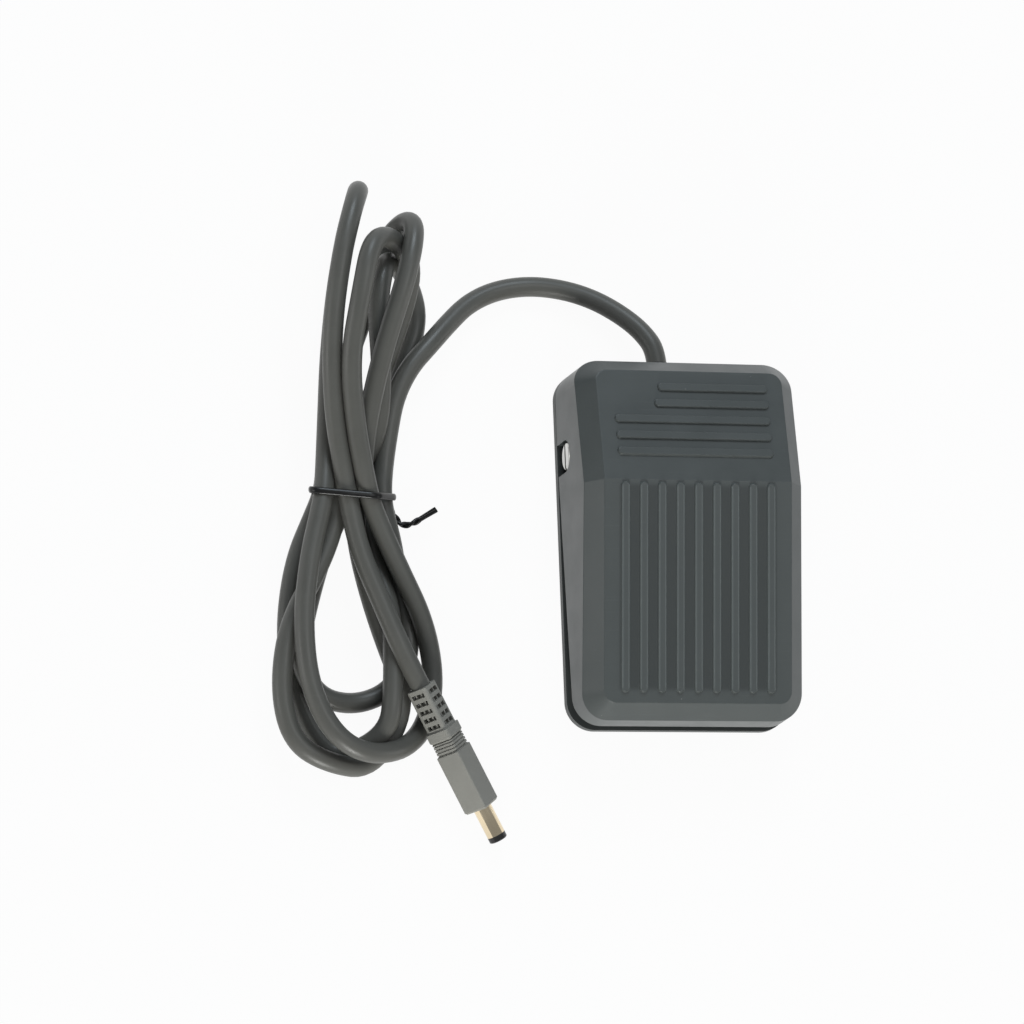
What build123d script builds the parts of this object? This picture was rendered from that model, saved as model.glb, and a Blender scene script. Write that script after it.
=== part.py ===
from build123d import *
from math import atan, atan2, cos, degrees, pi, radians, sin, sqrt, tan
import os

# Foot switch with a hinged pedal, a lever microswitch and a tied-up lead that ends in a barrel plug.
# Millimetres. +Z is up, +Y points to the rear where the lead leaves, +X to the right.
# The origin is on the floor under the middle of the housing. The pedal is drawn at rest, not pressed.

# Housing
housing_width = 68.0
housing_length = 108.0
corner_radius = 8.5
foot_proud = 1.0            # the rubber feet hold the base this far off the floor
floor_thickness = 2.2
rim_height = 1.2            # rim of the base above its floor
rim_thickness = 2.0
base_chamfer = 0.7

# Pedal cover
cover_wall = 2.2
wall_draft = 1.7            # degrees
crest_share = 0.2759        # ridge between the facets, in half lengths behind the middle
crest_height = 35.6
front_slope = 8.86          # degrees
rear_slope = 9.65
bevel_width = 4.7           # sloped edge round the facets, across and down
bevel_depth = 5.6
facet_side_inset = 5.5      # from the base's outline to the facets inside the bevels
facet_front_inset = 4.5
facet_rear_inset = 5.0
facet_corner_radius = 3.6
edge_rounding = 0.5         # outer edges of the moulded cover
skirt_gap = 0.3             # between the cover's edge and the rim when the pedal is down

# Ribs on the facets
rib_width = 2.8
rib_height = 0.8
rib_draft = 22.0            # degrees
rib_edge_radius = 0.3
long_rib_count = 9
long_rib_pitch_share = 0.1947   # of half the facet's width
long_rib_past_crest = 0.7
long_rib_front_inset = 2.9
long_rib_end_cut = 1.2
cross_rib_pitch_share = 0.1481  # of the rear facet's length
cross_rib_first_share = 0.255
cross_rib_side_inset = 4.6
cross_rib_starts = (-1.0, -1.0, -1.0, -0.477, -0.4184)   # left ends; the two rear ribs are short

# Hinge
hinge_share = 0.4926        # of half the length, behind the middle
hinge_z = 12.2
pedal_travel = 4.0          # degrees
ear_thickness = 2.4
ear_radius = 5.5
ear_inset = 0.3             # from the cover's inner face to the ear
web_gap = 0.4               # between the ear and the pedal's web
web_thickness = 3.0
web_radius = 5.4
shoulder_radius = 2.5
running_clearance = 0.08    # radial, between the shoulder and the ear
thread_radius = 2.0
thread_clearance = 0.05
screw_head_radius = 4.2
screw_head_height = 2.3
screw_head_gap = 0.15
screw_slot_width = 1.2
screw_slot_depth = 0.9
notch_radius = 4.8
nut_flats = 7.0
nut_height = 3.2
screw_end = 0.8             # thread that shows past the nut
small_slot_width = 0.7      # in the heads of the small screws
small_slot_depth = 0.7

# Feet
foot_radius = 6.0
foot_recess = 0.8
foot_side_inset = 11.0      # from the base's outline to the middle of a foot
foot_end_inset = 13.0
foot_clearance = 0.1
foot_dimple_radius = 1.6
foot_dimple_depth = 0.8

# Microswitch
case_length = 27.8
case_height = 15.9
case_thickness = 10.3
case_lid_thickness = 1.6
case_setback = 5.4          # from the hinge forward to the case's rear end
case_drop = 10.1            # from the crest down to the case's top
mount_hole_radius = 1.55
mount_hole_edge = 2.8
mount_hole_pitch = 22.2
mount_hole_rise = 10.3
seat_gap = 0.15             # between flat faces that are screwed together
switch_screw_radius = 1.45
switch_screw_head_radius = 2.75
switch_screw_head_height = 1.9
post_thickness = 2.8
post_boss_radius = 3.3
post_boss_length = 4.0
post_front_inset = 0.6      # from the case's front end, its rear end and its top to the post's
post_rear_inset = 0.4
post_top_inset = 0.6
gusset_drop = 3.0           # from the post's top to the gussets'
gusset_thickness = 2.0
gusset_reach = 9.0
lever_pivot_inset = 1.7     # from the case's rear end
lever_eye_gap = 0.15        # between the lever's eye and the case
lever_reach = 26.0
lever_width = 4.2
lever_thickness = 0.5
lever_rise = 4.5            # degrees
lever_eye_radius = 0.9
lever_pin_radius = 0.4
lever_pin_clearance = 0.06
lever_ratio = 1.32          # turn of the lever for each turn of the pedal
lug_thickness = 0.9         # ears of the case beside the lever
lug_radius = 1.3
lug_gap = 0.15
lug_root = 0.8              # depth in the case
plunger_arm = 8.5           # from the lever's pivot to the plunger
plunger_radius = 1.6
plunger_clearance = 0.06
plunger_depth = 4.0
plunger_gap = 0.18          # under the lever, at the plunger's middle
terminal_width = 6.3
terminal_thickness = 0.8
terminal_length = 7.0
terminal_hole_radius = 0.85
terminal_root = 3.0         # length inside the case
terminal_gap = 0.04
terminal_chamfer = 1.2
terminal_hole_inset = 2.6
terminal_closed_rise = 4.4  # heights above the case's bottom
terminal_open_rise = 10.4
common_rise = 8.6
common_length = 5.4

# Presser under the roof of the pedal
presser_inset = 2.5         # from the lever's tip
presser_radius = 3.0
presser_gap = 0.2
inner_rib_thickness = 1.6
inner_rib_depth = 2.4       # below the roof's inner face, at the spring
inner_rib_x = 14.0

# Return spring
spring_share = 0.5556       # of half the length, in front of the middle
spring_radius = 6.0         # to the middle of the wire
spring_wire = 1.4
spring_turns = 6.5
spring_seat_radius = 7.6
spring_drop = 1.77          # from the roof's inner face to the spring's upper end
spigot_radius = 3.7
spigot_height = 3.6
spring_gap = 0.1

# Lead and its entry
lead_diameter = 6.0
entry_x = -3.4
entry_z = 9.3
entry_wall_inset = 7.0      # from the base's rear end
entry_wall_thickness = 3.0
entry_half_width = 8.5
entry_top_margin = 2.6
grommet_groove_radius = 4.3
grommet_flange_radius = 5.7
grommet_flange_length = 1.6
grommet_nose_radius = 4.6
grommet_tip_radius = 3.7
grommet_reach = 2.0         # past the base's rear end
grommet_clearance = 0.1
grommet_collar = 0.6        # step of the nose outside the entry wall
lead_clearance = 0.05
lead_notch_radius = 6.0     # in the rear wall of the cover
lead_notch_depth = 12.0
lead_stub = 4.6             # from the middle of the clamp to the jacket's end
lead_joint_inset = 0.4      # inside the grommet, where the lead's outer stretch starts
clamp_inset = 12.0
clamp_length = 5.0
clamp_half_width = 11.0
clamp_screw_x = 7.6
clamp_split = 0.4           # gap between the saddle and the clamp
clamp_cover = 2.2
clamp_screw_radius = 1.4
clamp_screw_head_radius = 2.7
clamp_screw_head_height = 1.8
clamp_screw_depth = 4.0
wire_radius = 0.75
wire_gap = 0.05
wire_spread = 1.2           # from the lead's middle to each wire
wire_straight = 3.2         # first run of each wire from the jacket
wire_side_gap = 0.8         # between the wire and the heads of the switch's screws
wire_floor_gap = 0.4

# Lead outside the housing: points along its middle, chosen by hand. The first ones keep their
# distance from the joint in the grommet: X, distance behind the joint, Z. The others lie beside the hank.
lead_first_points = [(entry_x, 0.0, entry_z), (entry_x, 6.4, entry_z), (-7.0, 12.8, 7.6), (-12.8, 18.4, 5.6)]
lead_other_points = [
    (-20.8, 77.0, 4.0),
    (-30.2, 80.0, 3.2),
    (-40.8, 80.8, 3.2),
    (-51.0, 79.0, 3.2),
    (-59.8, 74.4, 4.6),
    (-66.8, 67.4, 7.2),
    (-73.2, 60.2, 7.2),
]
arc_share = 0.45            # of the shorter run beside each turn

# Tied hank of the lead: outlines in plan, with a rounding for each corner
neck_centre = (-98.0, 14.6)
neck_turn = -5.0            # degrees from the Y axis
neck_width = 24.0
neck_length = 14.0
neck_bottom_z = 1.5
neck_top_z = 19.0
run_landing = 4.6           # half the width of the face where the lead meets the hank
top_outline_left = [
    ((-110.0, 12.0), 4), ((-110.6, 46.0), 20), ((-108.6, 80.0), 20), ((-104.0, 102.0), 6),
    ((-96.0, 108.0), 5), ((-86.0, 101.0), 5), ((-77.0, 99.0), 5), ((-72.6, 80.0), 8),
]
top_outline_right = [((-79.0, 36.0), 10), ((-86.0, 12.0), 4)]
top_profile = [
    ((8.0, 1.5), 1), ((30.0, 0.2), 5), ((96.0, 0.2), 12), ((107.4, 12.0), 7), ((107.4, 30.0), 7),
    ((96.0, 40.0), 12), ((66.0, 35.0), 20), ((30.0, 21.5), 10), ((8.0, 19.0), 1),
]
ring_outline = [
    ((-110.0, 12.0), 4), ((-117.8, -6.0), 16), ((-125.2, -30.0), 16), ((-124.0, -54.0), 14),
    ((-107.0, -70.4), 14), ((-84.0, -68.0), 14), ((-71.6, -50.0), 12), ((-72.6, -26.0), 14),
    ((-82.0, -4.0), 14), ((-86.0, 12.0), 4),
]
ring_hole = [
    ((-99.4, 3.0), 3), ((-108.6, -20.0), 10), ((-109.6, -40.0), 8), ((-99.0, -45.6), 6), ((-88.0, -40.0), 6),
    ((-89.6, -18.0), 10),
]
ring_bottom_z = 0.2
ring_top_z = 9.6
tail_offset = -1.6          # from the neck's middle
tail_bend = [(-98.0, -3.0, 14.0), (-91.8, -18.2, 14.8)]
tail_last_run = 11.0
plug_channel = (12.4, 6.0)  # width and depth below the plug's axis of the dip under the strain relief

# Plug: its cord end, the way it points and its turn about that way
plug_start = (-80.2, -43.2, 13.6)
plug_axis = (0.481, -0.853, -0.204)
plug_roll = 53.0            # degrees
relief_side = 6.9
relief_corner = 1.0
relief_length = 13.6
relief_slot_first = 1.9      # from the cord end to the middle of the first slot
relief_slot_pitch = 2.53
relief_slot_count = 5
relief_slot_width = 1.3
relief_slot_span = 4.4
relief_slot_depth = 1.5
relief_bar_width = 0.5      # two thin bars along each side inside the slots
relief_bar_offset = 0.95
relief_bar_sink = 0.55
relief_bar_overlap = 0.3
collar_side = 8.0
collar_length = 3.4
collar_chamfer = 0.8
neck_side = 7.5
neck_run = 4.0
neck_groove_count = 4
neck_groove = 0.4
neck_groove_depth = 0.3
plug_side = 8.0
plug_corner = 0.6
plug_length = 18.7
barrel_radius = 2.75
barrel_wall = 0.35
barrel_reach = 9.1          # metal that stands out of the plug
barrel_root = 8.0           # metal inside the plug
barrel_step = 0.3           # the root is this much slimmer than the barrel
tip_ring = 1.8
contact_radius = 1.5
contact_bore_radius = 1.05
contact_inset = 0.4         # from the plug's tip to the contact
contact_bottom = 1.0
contact_depth = 10.6
plug_clearance = 0.05

# Twisted tie round the hank
tie_width = 2.2
tie_thickness = 1.2
tie_gap = 0.15
tie_twist_radius = 0.9
tie_tail = [(-85.0, 13.6, 2.6), (-84.2, 9.8, 2.6), (-81.6, 7.0, 2.8), (-77.6, 7.9, 3.4), (-71.8, 11.6, 5.2)]
tie_tail_radii = [1.6, 1.6, 2.0]

# Places that follow from the sizes
base_bottom = foot_proud
floor_top = base_bottom + floor_thickness
rim_top = floor_top + rim_height
half_width = housing_width / 2
half_length = housing_length / 2
bevel_angle = degrees(atan(bevel_depth / bevel_width))
lead_radius = lead_diameter / 2
crest_y = crest_share * half_length
flat_half_width = half_width - facet_side_inset
front_facet_end = facet_front_inset - half_length
rear_facet_end = half_length - facet_rear_inset
hinge_y = hinge_share * half_length
spring_y = -spring_share * half_length
foot_x = half_width - foot_side_inset
foot_y = half_length - foot_end_inset
entry_wall_y = half_length - entry_wall_inset
clamp_y = half_length - clamp_inset
lead_inner_end = clamp_y - lead_stub
lead_joint_y = half_length - lead_joint_inset
grommet_tip_y = half_length + grommet_reach
lead_route = [(x, lead_joint_y + rise, z) for x, rise, z in lead_first_points] + lead_other_points
case_top_z = crest_height - case_drop
case_bottom_z = case_top_z - case_height
case_rear_y = hinge_y - case_setback
case_front_y = case_rear_y - case_length
lever_pivot_y = case_rear_y - lever_pivot_inset
lever_pivot_z = case_top_z + lever_eye_radius + lever_eye_gap
lever_tip_y = lever_pivot_y - lever_reach
presser_y = lever_tip_y + presser_inset
post_x = case_thickness / 2 + seat_gap


def wall_inset(z):
    """How far the drafted wall of the cover lies inside the base's outline at height z."""
    return (z - rim_top) * tan(radians(wall_draft))


def roof_z(y, inset=0.0):
    """Height of the facets at y, or of a surface that lies `inset` under them."""
    slope = front_slope if y < crest_y else rear_slope
    top = crest_height - abs(y - crest_y) * tan(radians(slope))
    return top - inset / cos(radians(front_slope))


spring_top_z = roof_z(spring_y, cover_wall) - spring_drop
cover_inner_x = half_width - wall_inset(hinge_z) - cover_wall
ear_x = cover_inner_x - ear_inset - ear_thickness
web_x = ear_x - web_gap - web_thickness


def rounded(points_and_radii, closed=True):
    """Wire through the points with a rounding at each corner; a rounding of 0 leaves it sharp."""
    corners = [Vector(*p) for p, r in points_and_radii]
    radii = [r for p, r in points_and_radii]
    count = len(corners)
    ends = []
    edges = []
    for i in range(count):
        here, before, after = corners[i], corners[i - 1], corners[(i + 1) % count]
        if radii[i] == 0:
            ends.append((here, here, None))
            continue
        to_before = (before - here).normalized()
        to_after = (after - here).normalized()
        half = radians(to_before.get_angle(to_after)) / 2
        reach = radii[i] / tan(half)
        start = here + to_before * reach
        end = here + to_after * reach
        middle = here + (to_before + to_after).normalized() * (radii[i] / sin(half) - radii[i])
        ends.append((start, end, middle))
    for i in range(count):
        start, end, middle = ends[i]
        if middle is not None:
            edges.append(Edge.make_three_point_arc(start, middle, end))
        edges.append(Edge.make_line(end, ends[(i + 1) % count][0]))
    return Wire(edges)


def tube_path(points, radii=None):
    """Straight runs joined by tangent arcs, each as large as its two runs allow."""
    places = [Vector(*p) for p in points]
    if radii is None:
        radii = []
        for before, here, after in zip(places, places[1:], places[2:]):
            run_in, run_out = here - before, after - here
            half_turn = radians(run_in.get_angle(run_out)) / 2
            radii.append(arc_share * min(run_in.length, run_out.length) / tan(half_turn))
    return FilletPolyline(*places, radius=radii), radii


def tube(points, radius, radii=None, name=None):
    """Round tube along a tube_path."""
    path, used = tube_path(points, radii)
    start = Plane(origin=path @ 0, z_dir=path % 0)
    solid = sweep(start * Circle(radius), path=path)
    if name:
        want = pi * radius ** 2 * path.length
        print(name, "length", round(path.length, 1), "volume share", round(solid.volume / want, 4),
              "radii", [round(r, 1) for r in used])
    return solid


def facet_plane(slope, inset=0.0):
    """Plane of a facet through the crest; its local Y points to the rear."""
    angle = radians(slope)
    origin = (0, crest_y, crest_height - inset / cos(radians(front_slope)))
    return Plane(origin=origin, x_dir=(1, 0, 0), z_dir=(0, -sin(angle), cos(angle)))


def roof_half(slope, far_edge, inset):
    """Block under one facet with the sloped edge round it. far_edge is where the facet ends along Y."""
    reach = abs(far_edge - crest_y) / cos(radians(slope))
    shrink = inset * tan(radians(bevel_angle) / 2)
    overlap = 30.0
    side = -1 if far_edge < crest_y else 1
    plane = facet_plane(slope if side < 0 else -slope, inset)
    length = reach - shrink + overlap
    middle = side * (length / 2 - overlap)
    radius = max(facet_corner_radius - shrink, 0.5)
    face = plane * Pos(0, middle) * RectangleRounded(2 * (flat_half_width - shrink), length, radius)
    spread = degrees(atan(bevel_width / bevel_depth / cos(radians(slope))))
    block = extrude(face, amount=crest_height + 10, dir=-plane.z_dir, taper=-spread)
    keep = Pos(0, crest_y + side * housing_length, 0)
    return block & keep * Box(4 * housing_width, 2 * housing_length, 4 * crest_height)


def pedal_form(inset):
    """Outer form of the pedal cover, drawn in by `inset`, open downwards without a limit."""
    outline = RectangleRounded(housing_width - 2 * inset, housing_length - 2 * inset, corner_radius - inset)
    prism = extrude(Pos(0, 0, rim_top) * outline, amount=crest_height, taper=wall_draft)
    roof = roof_half(front_slope, front_facet_end, inset) + roof_half(rear_slope, rear_facet_end, inset)
    return prism & roof


def rounded_form():
    """Outer form of the cover with its moulded edges rounded."""
    form = pedal_form(0)
    return fillet([e for e in form.edges() if e.bounding_box().min.Z > hinge_z], edge_rounding)


def above_skirt():
    """Everything above the cover's lower edge: level behind the hinge, rising to the front."""
    low = rim_top + skirt_gap
    front = -half_length - 5
    high = low + (hinge_y - front) * tan(radians(pedal_travel + 0.05))
    rear = half_length + 5
    top = 2 * crest_height
    side = Polyline((front, high), (hinge_y, low), (rear, low), (rear, top), (front, top), close=True)
    return extrude(Plane.YZ * make_face(side), amount=housing_width, both=True)


def rib(plane, start, end):
    """Raised bar with round ends on a facet, between two local points of its middle line."""
    sink = 0.3
    length = sqrt((end[0] - start[0]) ** 2 + (end[1] - start[1]) ** 2)
    angle = degrees(atan2(end[1] - start[1], end[0] - start[0]))
    middle = ((start[0] + end[0]) / 2, (start[1] + end[1]) / 2)
    grow = 2 * sink * tan(radians(rib_draft))
    outline = SlotOverall(length + grow, rib_width + grow)
    face = plane * Pos(middle[0], middle[1], -sink) * Rot(0, 0, angle) * outline
    bar = extrude(face, amount=rib_height + sink, dir=plane.z_dir, taper=rib_draft)
    top = [f for f in bar.faces() if (f.center() - plane.origin).dot(plane.z_dir) > rib_height - 0.01][0]
    return fillet(top.edges(), rib_edge_radius)


def facet_ribs():
    front, rear = facet_plane(front_slope), facet_plane(-rear_slope)
    bars = []
    for i in range(long_rib_count):
        x = (i - (long_rib_count - 1) / 2) * long_rib_pitch_share * flat_half_width
        low = (front_facet_end + long_rib_front_inset - crest_y) / cos(radians(front_slope))
        high = long_rib_past_crest / cos(radians(front_slope)) - long_rib_end_cut
        bars.append(rib(front, (x, low), (x, high)))
    rear_length = rear_facet_end - crest_y
    half = flat_half_width - cross_rib_side_inset
    for i, start in enumerate(cross_rib_starts):
        y = (cross_rib_first_share + i * cross_rib_pitch_share) * rear_length / cos(radians(rear_slope))
        bars.append(rib(rear, (start * half, y), (half, y)))
    return bars


def under_roof(solid):
    """The part of a boss that lies inside the cover, run into its roof."""
    return solid & pedal_form(cover_wall / 2)


def hinge_web(side):
    """Web of the pedal beside the ear, with the bore for the hinge screw."""
    height = crest_height - hinge_z
    plate = Pos(0, hinge_y, hinge_z + height / 2) * Box(web_thickness, 2 * web_radius, height)
    plate += Pos(0, hinge_y, hinge_z) * Rot(0, 90, 0) * Cylinder(web_radius, web_thickness)
    bore = Cylinder(thread_radius + thread_clearance, 2 * web_thickness)
    bore = Pos(0, hinge_y, hinge_z) * Rot(0, 90, 0) * bore
    x = side * (web_x + web_thickness / 2)
    return Pos(x, 0, 0) * (plate - bore)


def hinge_notch():
    """Arch through both side walls round the screw heads, open at the lower edge."""
    arch = Pos(0, hinge_y, hinge_z) * Rot(0, 90, 0) * Cylinder(notch_radius, 2 * housing_width)
    return arch + Pos(0, hinge_y, hinge_z / 2 - 5) * Box(2 * housing_width, 2 * notch_radius, hinge_z + 10)


def lead_notch():
    """Arch through the rear wall round the grommet, open at the lower edge."""
    arch = Pos(entry_x, half_length, entry_z) * Rot(90, 0, 0) * Cylinder(lead_notch_radius, lead_notch_depth)
    slot = Box(2 * lead_notch_radius, lead_notch_depth, entry_z + 10)
    return arch + Pos(entry_x, half_length, entry_z / 2 - 5) * slot


def presser_z():
    """Height of the presser's end: just over the lever at rest."""
    arm = lever_pivot_y - presser_y
    middle = lever_pivot_z + arm * tan(radians(lever_rise))
    return middle + lever_thickness / 2 / cos(radians(lever_rise)) + presser_gap


def make_pedal_cover():
    shell = rounded_form() - pedal_form(cover_wall)
    shell = shell & above_skirt()
    for bar in facet_ribs():
        shell += bar
    inside = []
    for side in (-1, 1):
        inside.append(hinge_web(side))
    low = presser_z()
    post = Pos(0, presser_y, (low + crest_height) / 2 + presser_radius / 2)
    post *= Cylinder(presser_radius, crest_height - low - presser_radius)
    inside.append(post + Pos(0, presser_y, low + presser_radius) * Sphere(presser_radius))
    seat_height = crest_height - spring_top_z
    seat = Pos(0, spring_y, spring_top_z + seat_height / 2) * Cylinder(spring_seat_radius, seat_height)
    seat += Pos(0, spring_y, spring_top_z - spigot_height / 2) * Cylinder(spigot_radius, spigot_height)
    inside.append(seat)
    rib_z = roof_z(spring_y, cover_wall) - inner_rib_depth
    rib_length = crest_y - spring_y
    for side in (-1, 1):
        plate = Pos(side * inner_rib_x, (spring_y + crest_y) / 2, rib_z + crest_height / 2)
        inside.append(plate * Box(inner_rib_thickness, rib_length, crest_height))
    for boss in inside:
        shell += under_roof(boss)
    return shell - hinge_notch() - lead_notch()


def make_base_tray():
    outline = RectangleRounded(housing_width, housing_length, corner_radius)
    inner = RectangleRounded(housing_width - 2 * rim_thickness, housing_length - 2 * rim_thickness,
                             corner_radius - rim_thickness)
    tray = extrude(Pos(0, 0, base_bottom) * outline, amount=rim_top - base_bottom)
    tray = chamfer(tray.faces().sort_by(Axis.Z)[0].edges(), base_chamfer)
    tray -= extrude(Pos(0, 0, floor_top) * inner, amount=rim_height + 1)
    for side in (-1, 1):
        tray += hinge_ear(side)
    tray += switch_post() + lead_saddle() + entry_wall()
    spigot_top = floor_top + spigot_height
    tray += Pos(0, spring_y, (floor_top + spigot_top) / 2) * Cylinder(spigot_radius, spigot_height)
    for x, y in foot_places():
        depth = foot_recess
        tray -= Pos(x, y, base_bottom + depth / 2) * Cylinder(foot_radius + foot_clearance, depth)
    return tray


def hinge_ear(side):
    """Upright ear of the base that the hinge screw's shoulder turns in."""
    height = hinge_z - floor_top
    plate = Pos(0, hinge_y, floor_top + height / 2) * Box(ear_thickness, 2 * ear_radius, height)
    plate += Pos(0, hinge_y, hinge_z) * Rot(0, 90, 0) * Cylinder(ear_radius, ear_thickness)
    bore = Cylinder(shoulder_radius + running_clearance, 2 * ear_thickness)
    plate -= Pos(0, hinge_y, hinge_z) * Rot(0, 90, 0) * bore
    return Pos(side * (ear_x + ear_thickness / 2), 0, 0) * plate


def mount_holes():
    """Places of the microswitch's two mounting holes, in Y and Z."""
    front = (case_rear_y - mount_hole_edge - mount_hole_pitch, case_bottom_z + mount_hole_edge)
    rear = (case_rear_y - mount_hole_edge, case_bottom_z + mount_hole_edge + mount_hole_rise)
    return [front, rear]


def switch_post():
    """Upright wall that the microswitch is screwed to, with bosses and gussets behind it."""
    top = case_top_z - post_top_inset
    front, rear = case_front_y + post_front_inset, case_rear_y - post_rear_inset
    height = top - floor_top
    wall = Pos(post_x + post_thickness / 2, (front + rear) / 2, floor_top + height / 2)
    post = wall * Box(post_thickness, rear - front, height)
    for y, z in mount_holes():
        reach = post_thickness + post_boss_length
        post += Pos(post_x + reach / 2, y, z) * Rot(0, 90, 0) * Cylinder(post_boss_radius, reach)
    foot = post_x + post_thickness + gusset_reach
    back = post_x + post_thickness
    slope = Polyline((post_x, floor_top), (foot, floor_top), (back, top - gusset_drop),
                     (post_x, top - gusset_drop), close=True)
    for y in (front + gusset_thickness / 2, (front + rear) / 2, rear - gusset_thickness / 2):
        post += Pos(0, y, 0) * extrude(Plane.XZ * make_face(slope), amount=gusset_thickness / 2, both=True)
    for y, z in mount_holes():
        depth = post_thickness + post_boss_length
        hole = Cylinder(switch_screw_radius + lead_clearance, depth)
        post -= Pos(post_x + depth / 2, y, z) * Rot(0, 90, 0) * hole
    return post


def entry_wall():
    """Upright wall at the rear that holds the grommet in its groove."""
    top = entry_z + grommet_groove_radius + entry_top_margin
    height = top - floor_top
    middle_y = entry_wall_y + entry_wall_thickness / 2
    wall = Box(2 * entry_half_width, entry_wall_thickness, height)
    wall = Pos(entry_x, middle_y, floor_top + height / 2) * wall
    hole = Cylinder(grommet_groove_radius + grommet_clearance, 2 * entry_wall_thickness)
    return wall - Pos(entry_x, middle_y, entry_z) * Rot(90, 0, 0) * hole


def lead_trough():
    """Space for the lead through the saddle and the clamp."""
    space = Cylinder(lead_radius + lead_clearance, 2 * clamp_length)
    return Pos(entry_x, clamp_y, entry_z) * Rot(90, 0, 0) * space


def lead_saddle():
    """Block with a trough that the clamp presses the lead into."""
    top = entry_z - clamp_split / 2
    height = top - floor_top
    block = Pos(entry_x, clamp_y, floor_top + height / 2) * Box(2 * clamp_half_width, clamp_length, height)
    block -= lead_trough()
    for side in (-1, 1):
        depth = clamp_screw_depth
        hole = Cylinder(clamp_screw_radius + lead_clearance, depth)
        block -= Pos(entry_x + side * clamp_screw_x, clamp_y, top - depth / 2) * hole
    return block


def make_cable_clamp():
    bottom = entry_z + clamp_split / 2
    top = entry_z + lead_radius + clamp_cover
    bar = Pos(entry_x, clamp_y, (bottom + top) / 2) * Box(2 * clamp_half_width, clamp_length, top - bottom)
    edges = bar.edges().filter_by(Axis.Y).group_by(Axis.Z)[-1]
    bar = chamfer(edges, 1.4)
    bar -= lead_trough()
    for side in (-1, 1):
        x = entry_x + side * clamp_screw_x
        hole = Cylinder(clamp_screw_radius + grommet_clearance, 2 * clamp_length)
        bar -= Pos(x, clamp_y, (bottom + top) / 2) * hole
    return bar


def pan_screw(head_radius, head_height, shank_radius, shank_length):
    """Slotted screw, head above the local origin and shank below it."""
    head = Pos(0, 0, head_height / 2) * Cylinder(head_radius, head_height)
    head = fillet(head.edges().sort_by(Axis.Z)[-1], 0.4 * head_height)
    head -= Pos(0, 0, head_height) * Box(4 * head_radius, small_slot_width, 2 * small_slot_depth)
    return head + Pos(0, 0, -shank_length / 2) * Cylinder(shank_radius, shank_length)


def make_clamp_screws():
    top = entry_z + lead_radius + clamp_cover
    depth = top - (entry_z - clamp_split / 2) + clamp_screw_depth - 0.3
    screw = pan_screw(clamp_screw_head_radius, clamp_screw_head_height, clamp_screw_radius, depth)
    places = [Pos(entry_x + side * clamp_screw_x, clamp_y, top) for side in (-1, 1)]
    return Compound([place * screw for place in places])


def make_switch_screws():
    length = case_thickness + post_thickness + post_boss_length - 0.6
    screw = pan_screw(switch_screw_head_radius, switch_screw_head_height, switch_screw_radius, length)
    return Compound([Pos(-case_thickness / 2, y, z) * Rot(0, -90, 0) * screw for y, z in mount_holes()])


def make_hinge_screw(side):
    """Shoulder screw: head in the cover's notch, shoulder in the ear, thread in the pedal's web."""
    head_x = ear_x + ear_thickness + screw_head_gap
    shoulder = head_x - web_x - web_thickness
    thread = web_thickness + nut_height + screw_end
    head = Pos(0, 0, screw_head_height / 2) * Cylinder(screw_head_radius, screw_head_height)
    head = fillet(head.edges().sort_by(Axis.Z)[-1], 0.9)
    slot = Box(screw_slot_width, 4 * screw_head_radius, 2 * screw_slot_depth)
    head -= Pos(0, 0, screw_head_height) * slot
    screw = head + Pos(0, 0, -shoulder / 2) * Cylinder(shoulder_radius, shoulder)
    screw += Pos(0, 0, -shoulder - thread / 2) * Cylinder(thread_radius, thread)
    return Pos(side * head_x, hinge_y, hinge_z) * Rot(0, side * 90, 0) * screw


def make_hinge_nuts():
    nut = extrude(RegularPolygon(nut_flats / 2, 6, major_radius=False), amount=nut_height)
    nut -= Cylinder(thread_radius + thread_clearance, 4 * nut_height)
    nuts = []
    for side in (-1, 1):
        place = Pos(side * (web_x - nut_height), hinge_y, hinge_z) * Rot(0, side * 90, 0)
        nuts.append(place * nut)
    return Compound(nuts)


def foot_places():
    return [(x, y) for x in (-foot_x, foot_x) for y in (-foot_y, foot_y)]


def make_rubber_feet():
    height = foot_proud + foot_recess
    foot = Pos(0, 0, height / 2) * Cylinder(foot_radius, height)
    foot = chamfer(foot.edges().sort_by(Axis.Z)[0], 0.3)
    foot -= Cylinder(foot_dimple_radius, 2 * foot_dimple_depth)
    return Compound([Pos(x, y, 0) * foot for x, y in foot_places()])


def case_box(x0, x1):
    """Stretch of the microswitch's case between two places across its thickness."""
    box = Pos((x0 + x1) / 2, (case_front_y + case_rear_y) / 2, (case_bottom_z + case_top_z) / 2)
    box *= Box(x1 - x0, case_length, case_height)
    edges = box.edges().filter_by(Axis.X)
    box = fillet(edges, 0.8)
    for y, z in mount_holes():
        box -= Pos(0, y, z) * Rot(0, 90, 0) * Cylinder(mount_hole_radius, 4 * case_thickness)
    return box


def plunger_top():
    """Top of the plunger at rest, just under the lever."""
    under = lever_pivot_z + plunger_arm * tan(radians(lever_rise))
    return under - lever_thickness / 2 / cos(radians(lever_rise)) - plunger_gap


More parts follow.
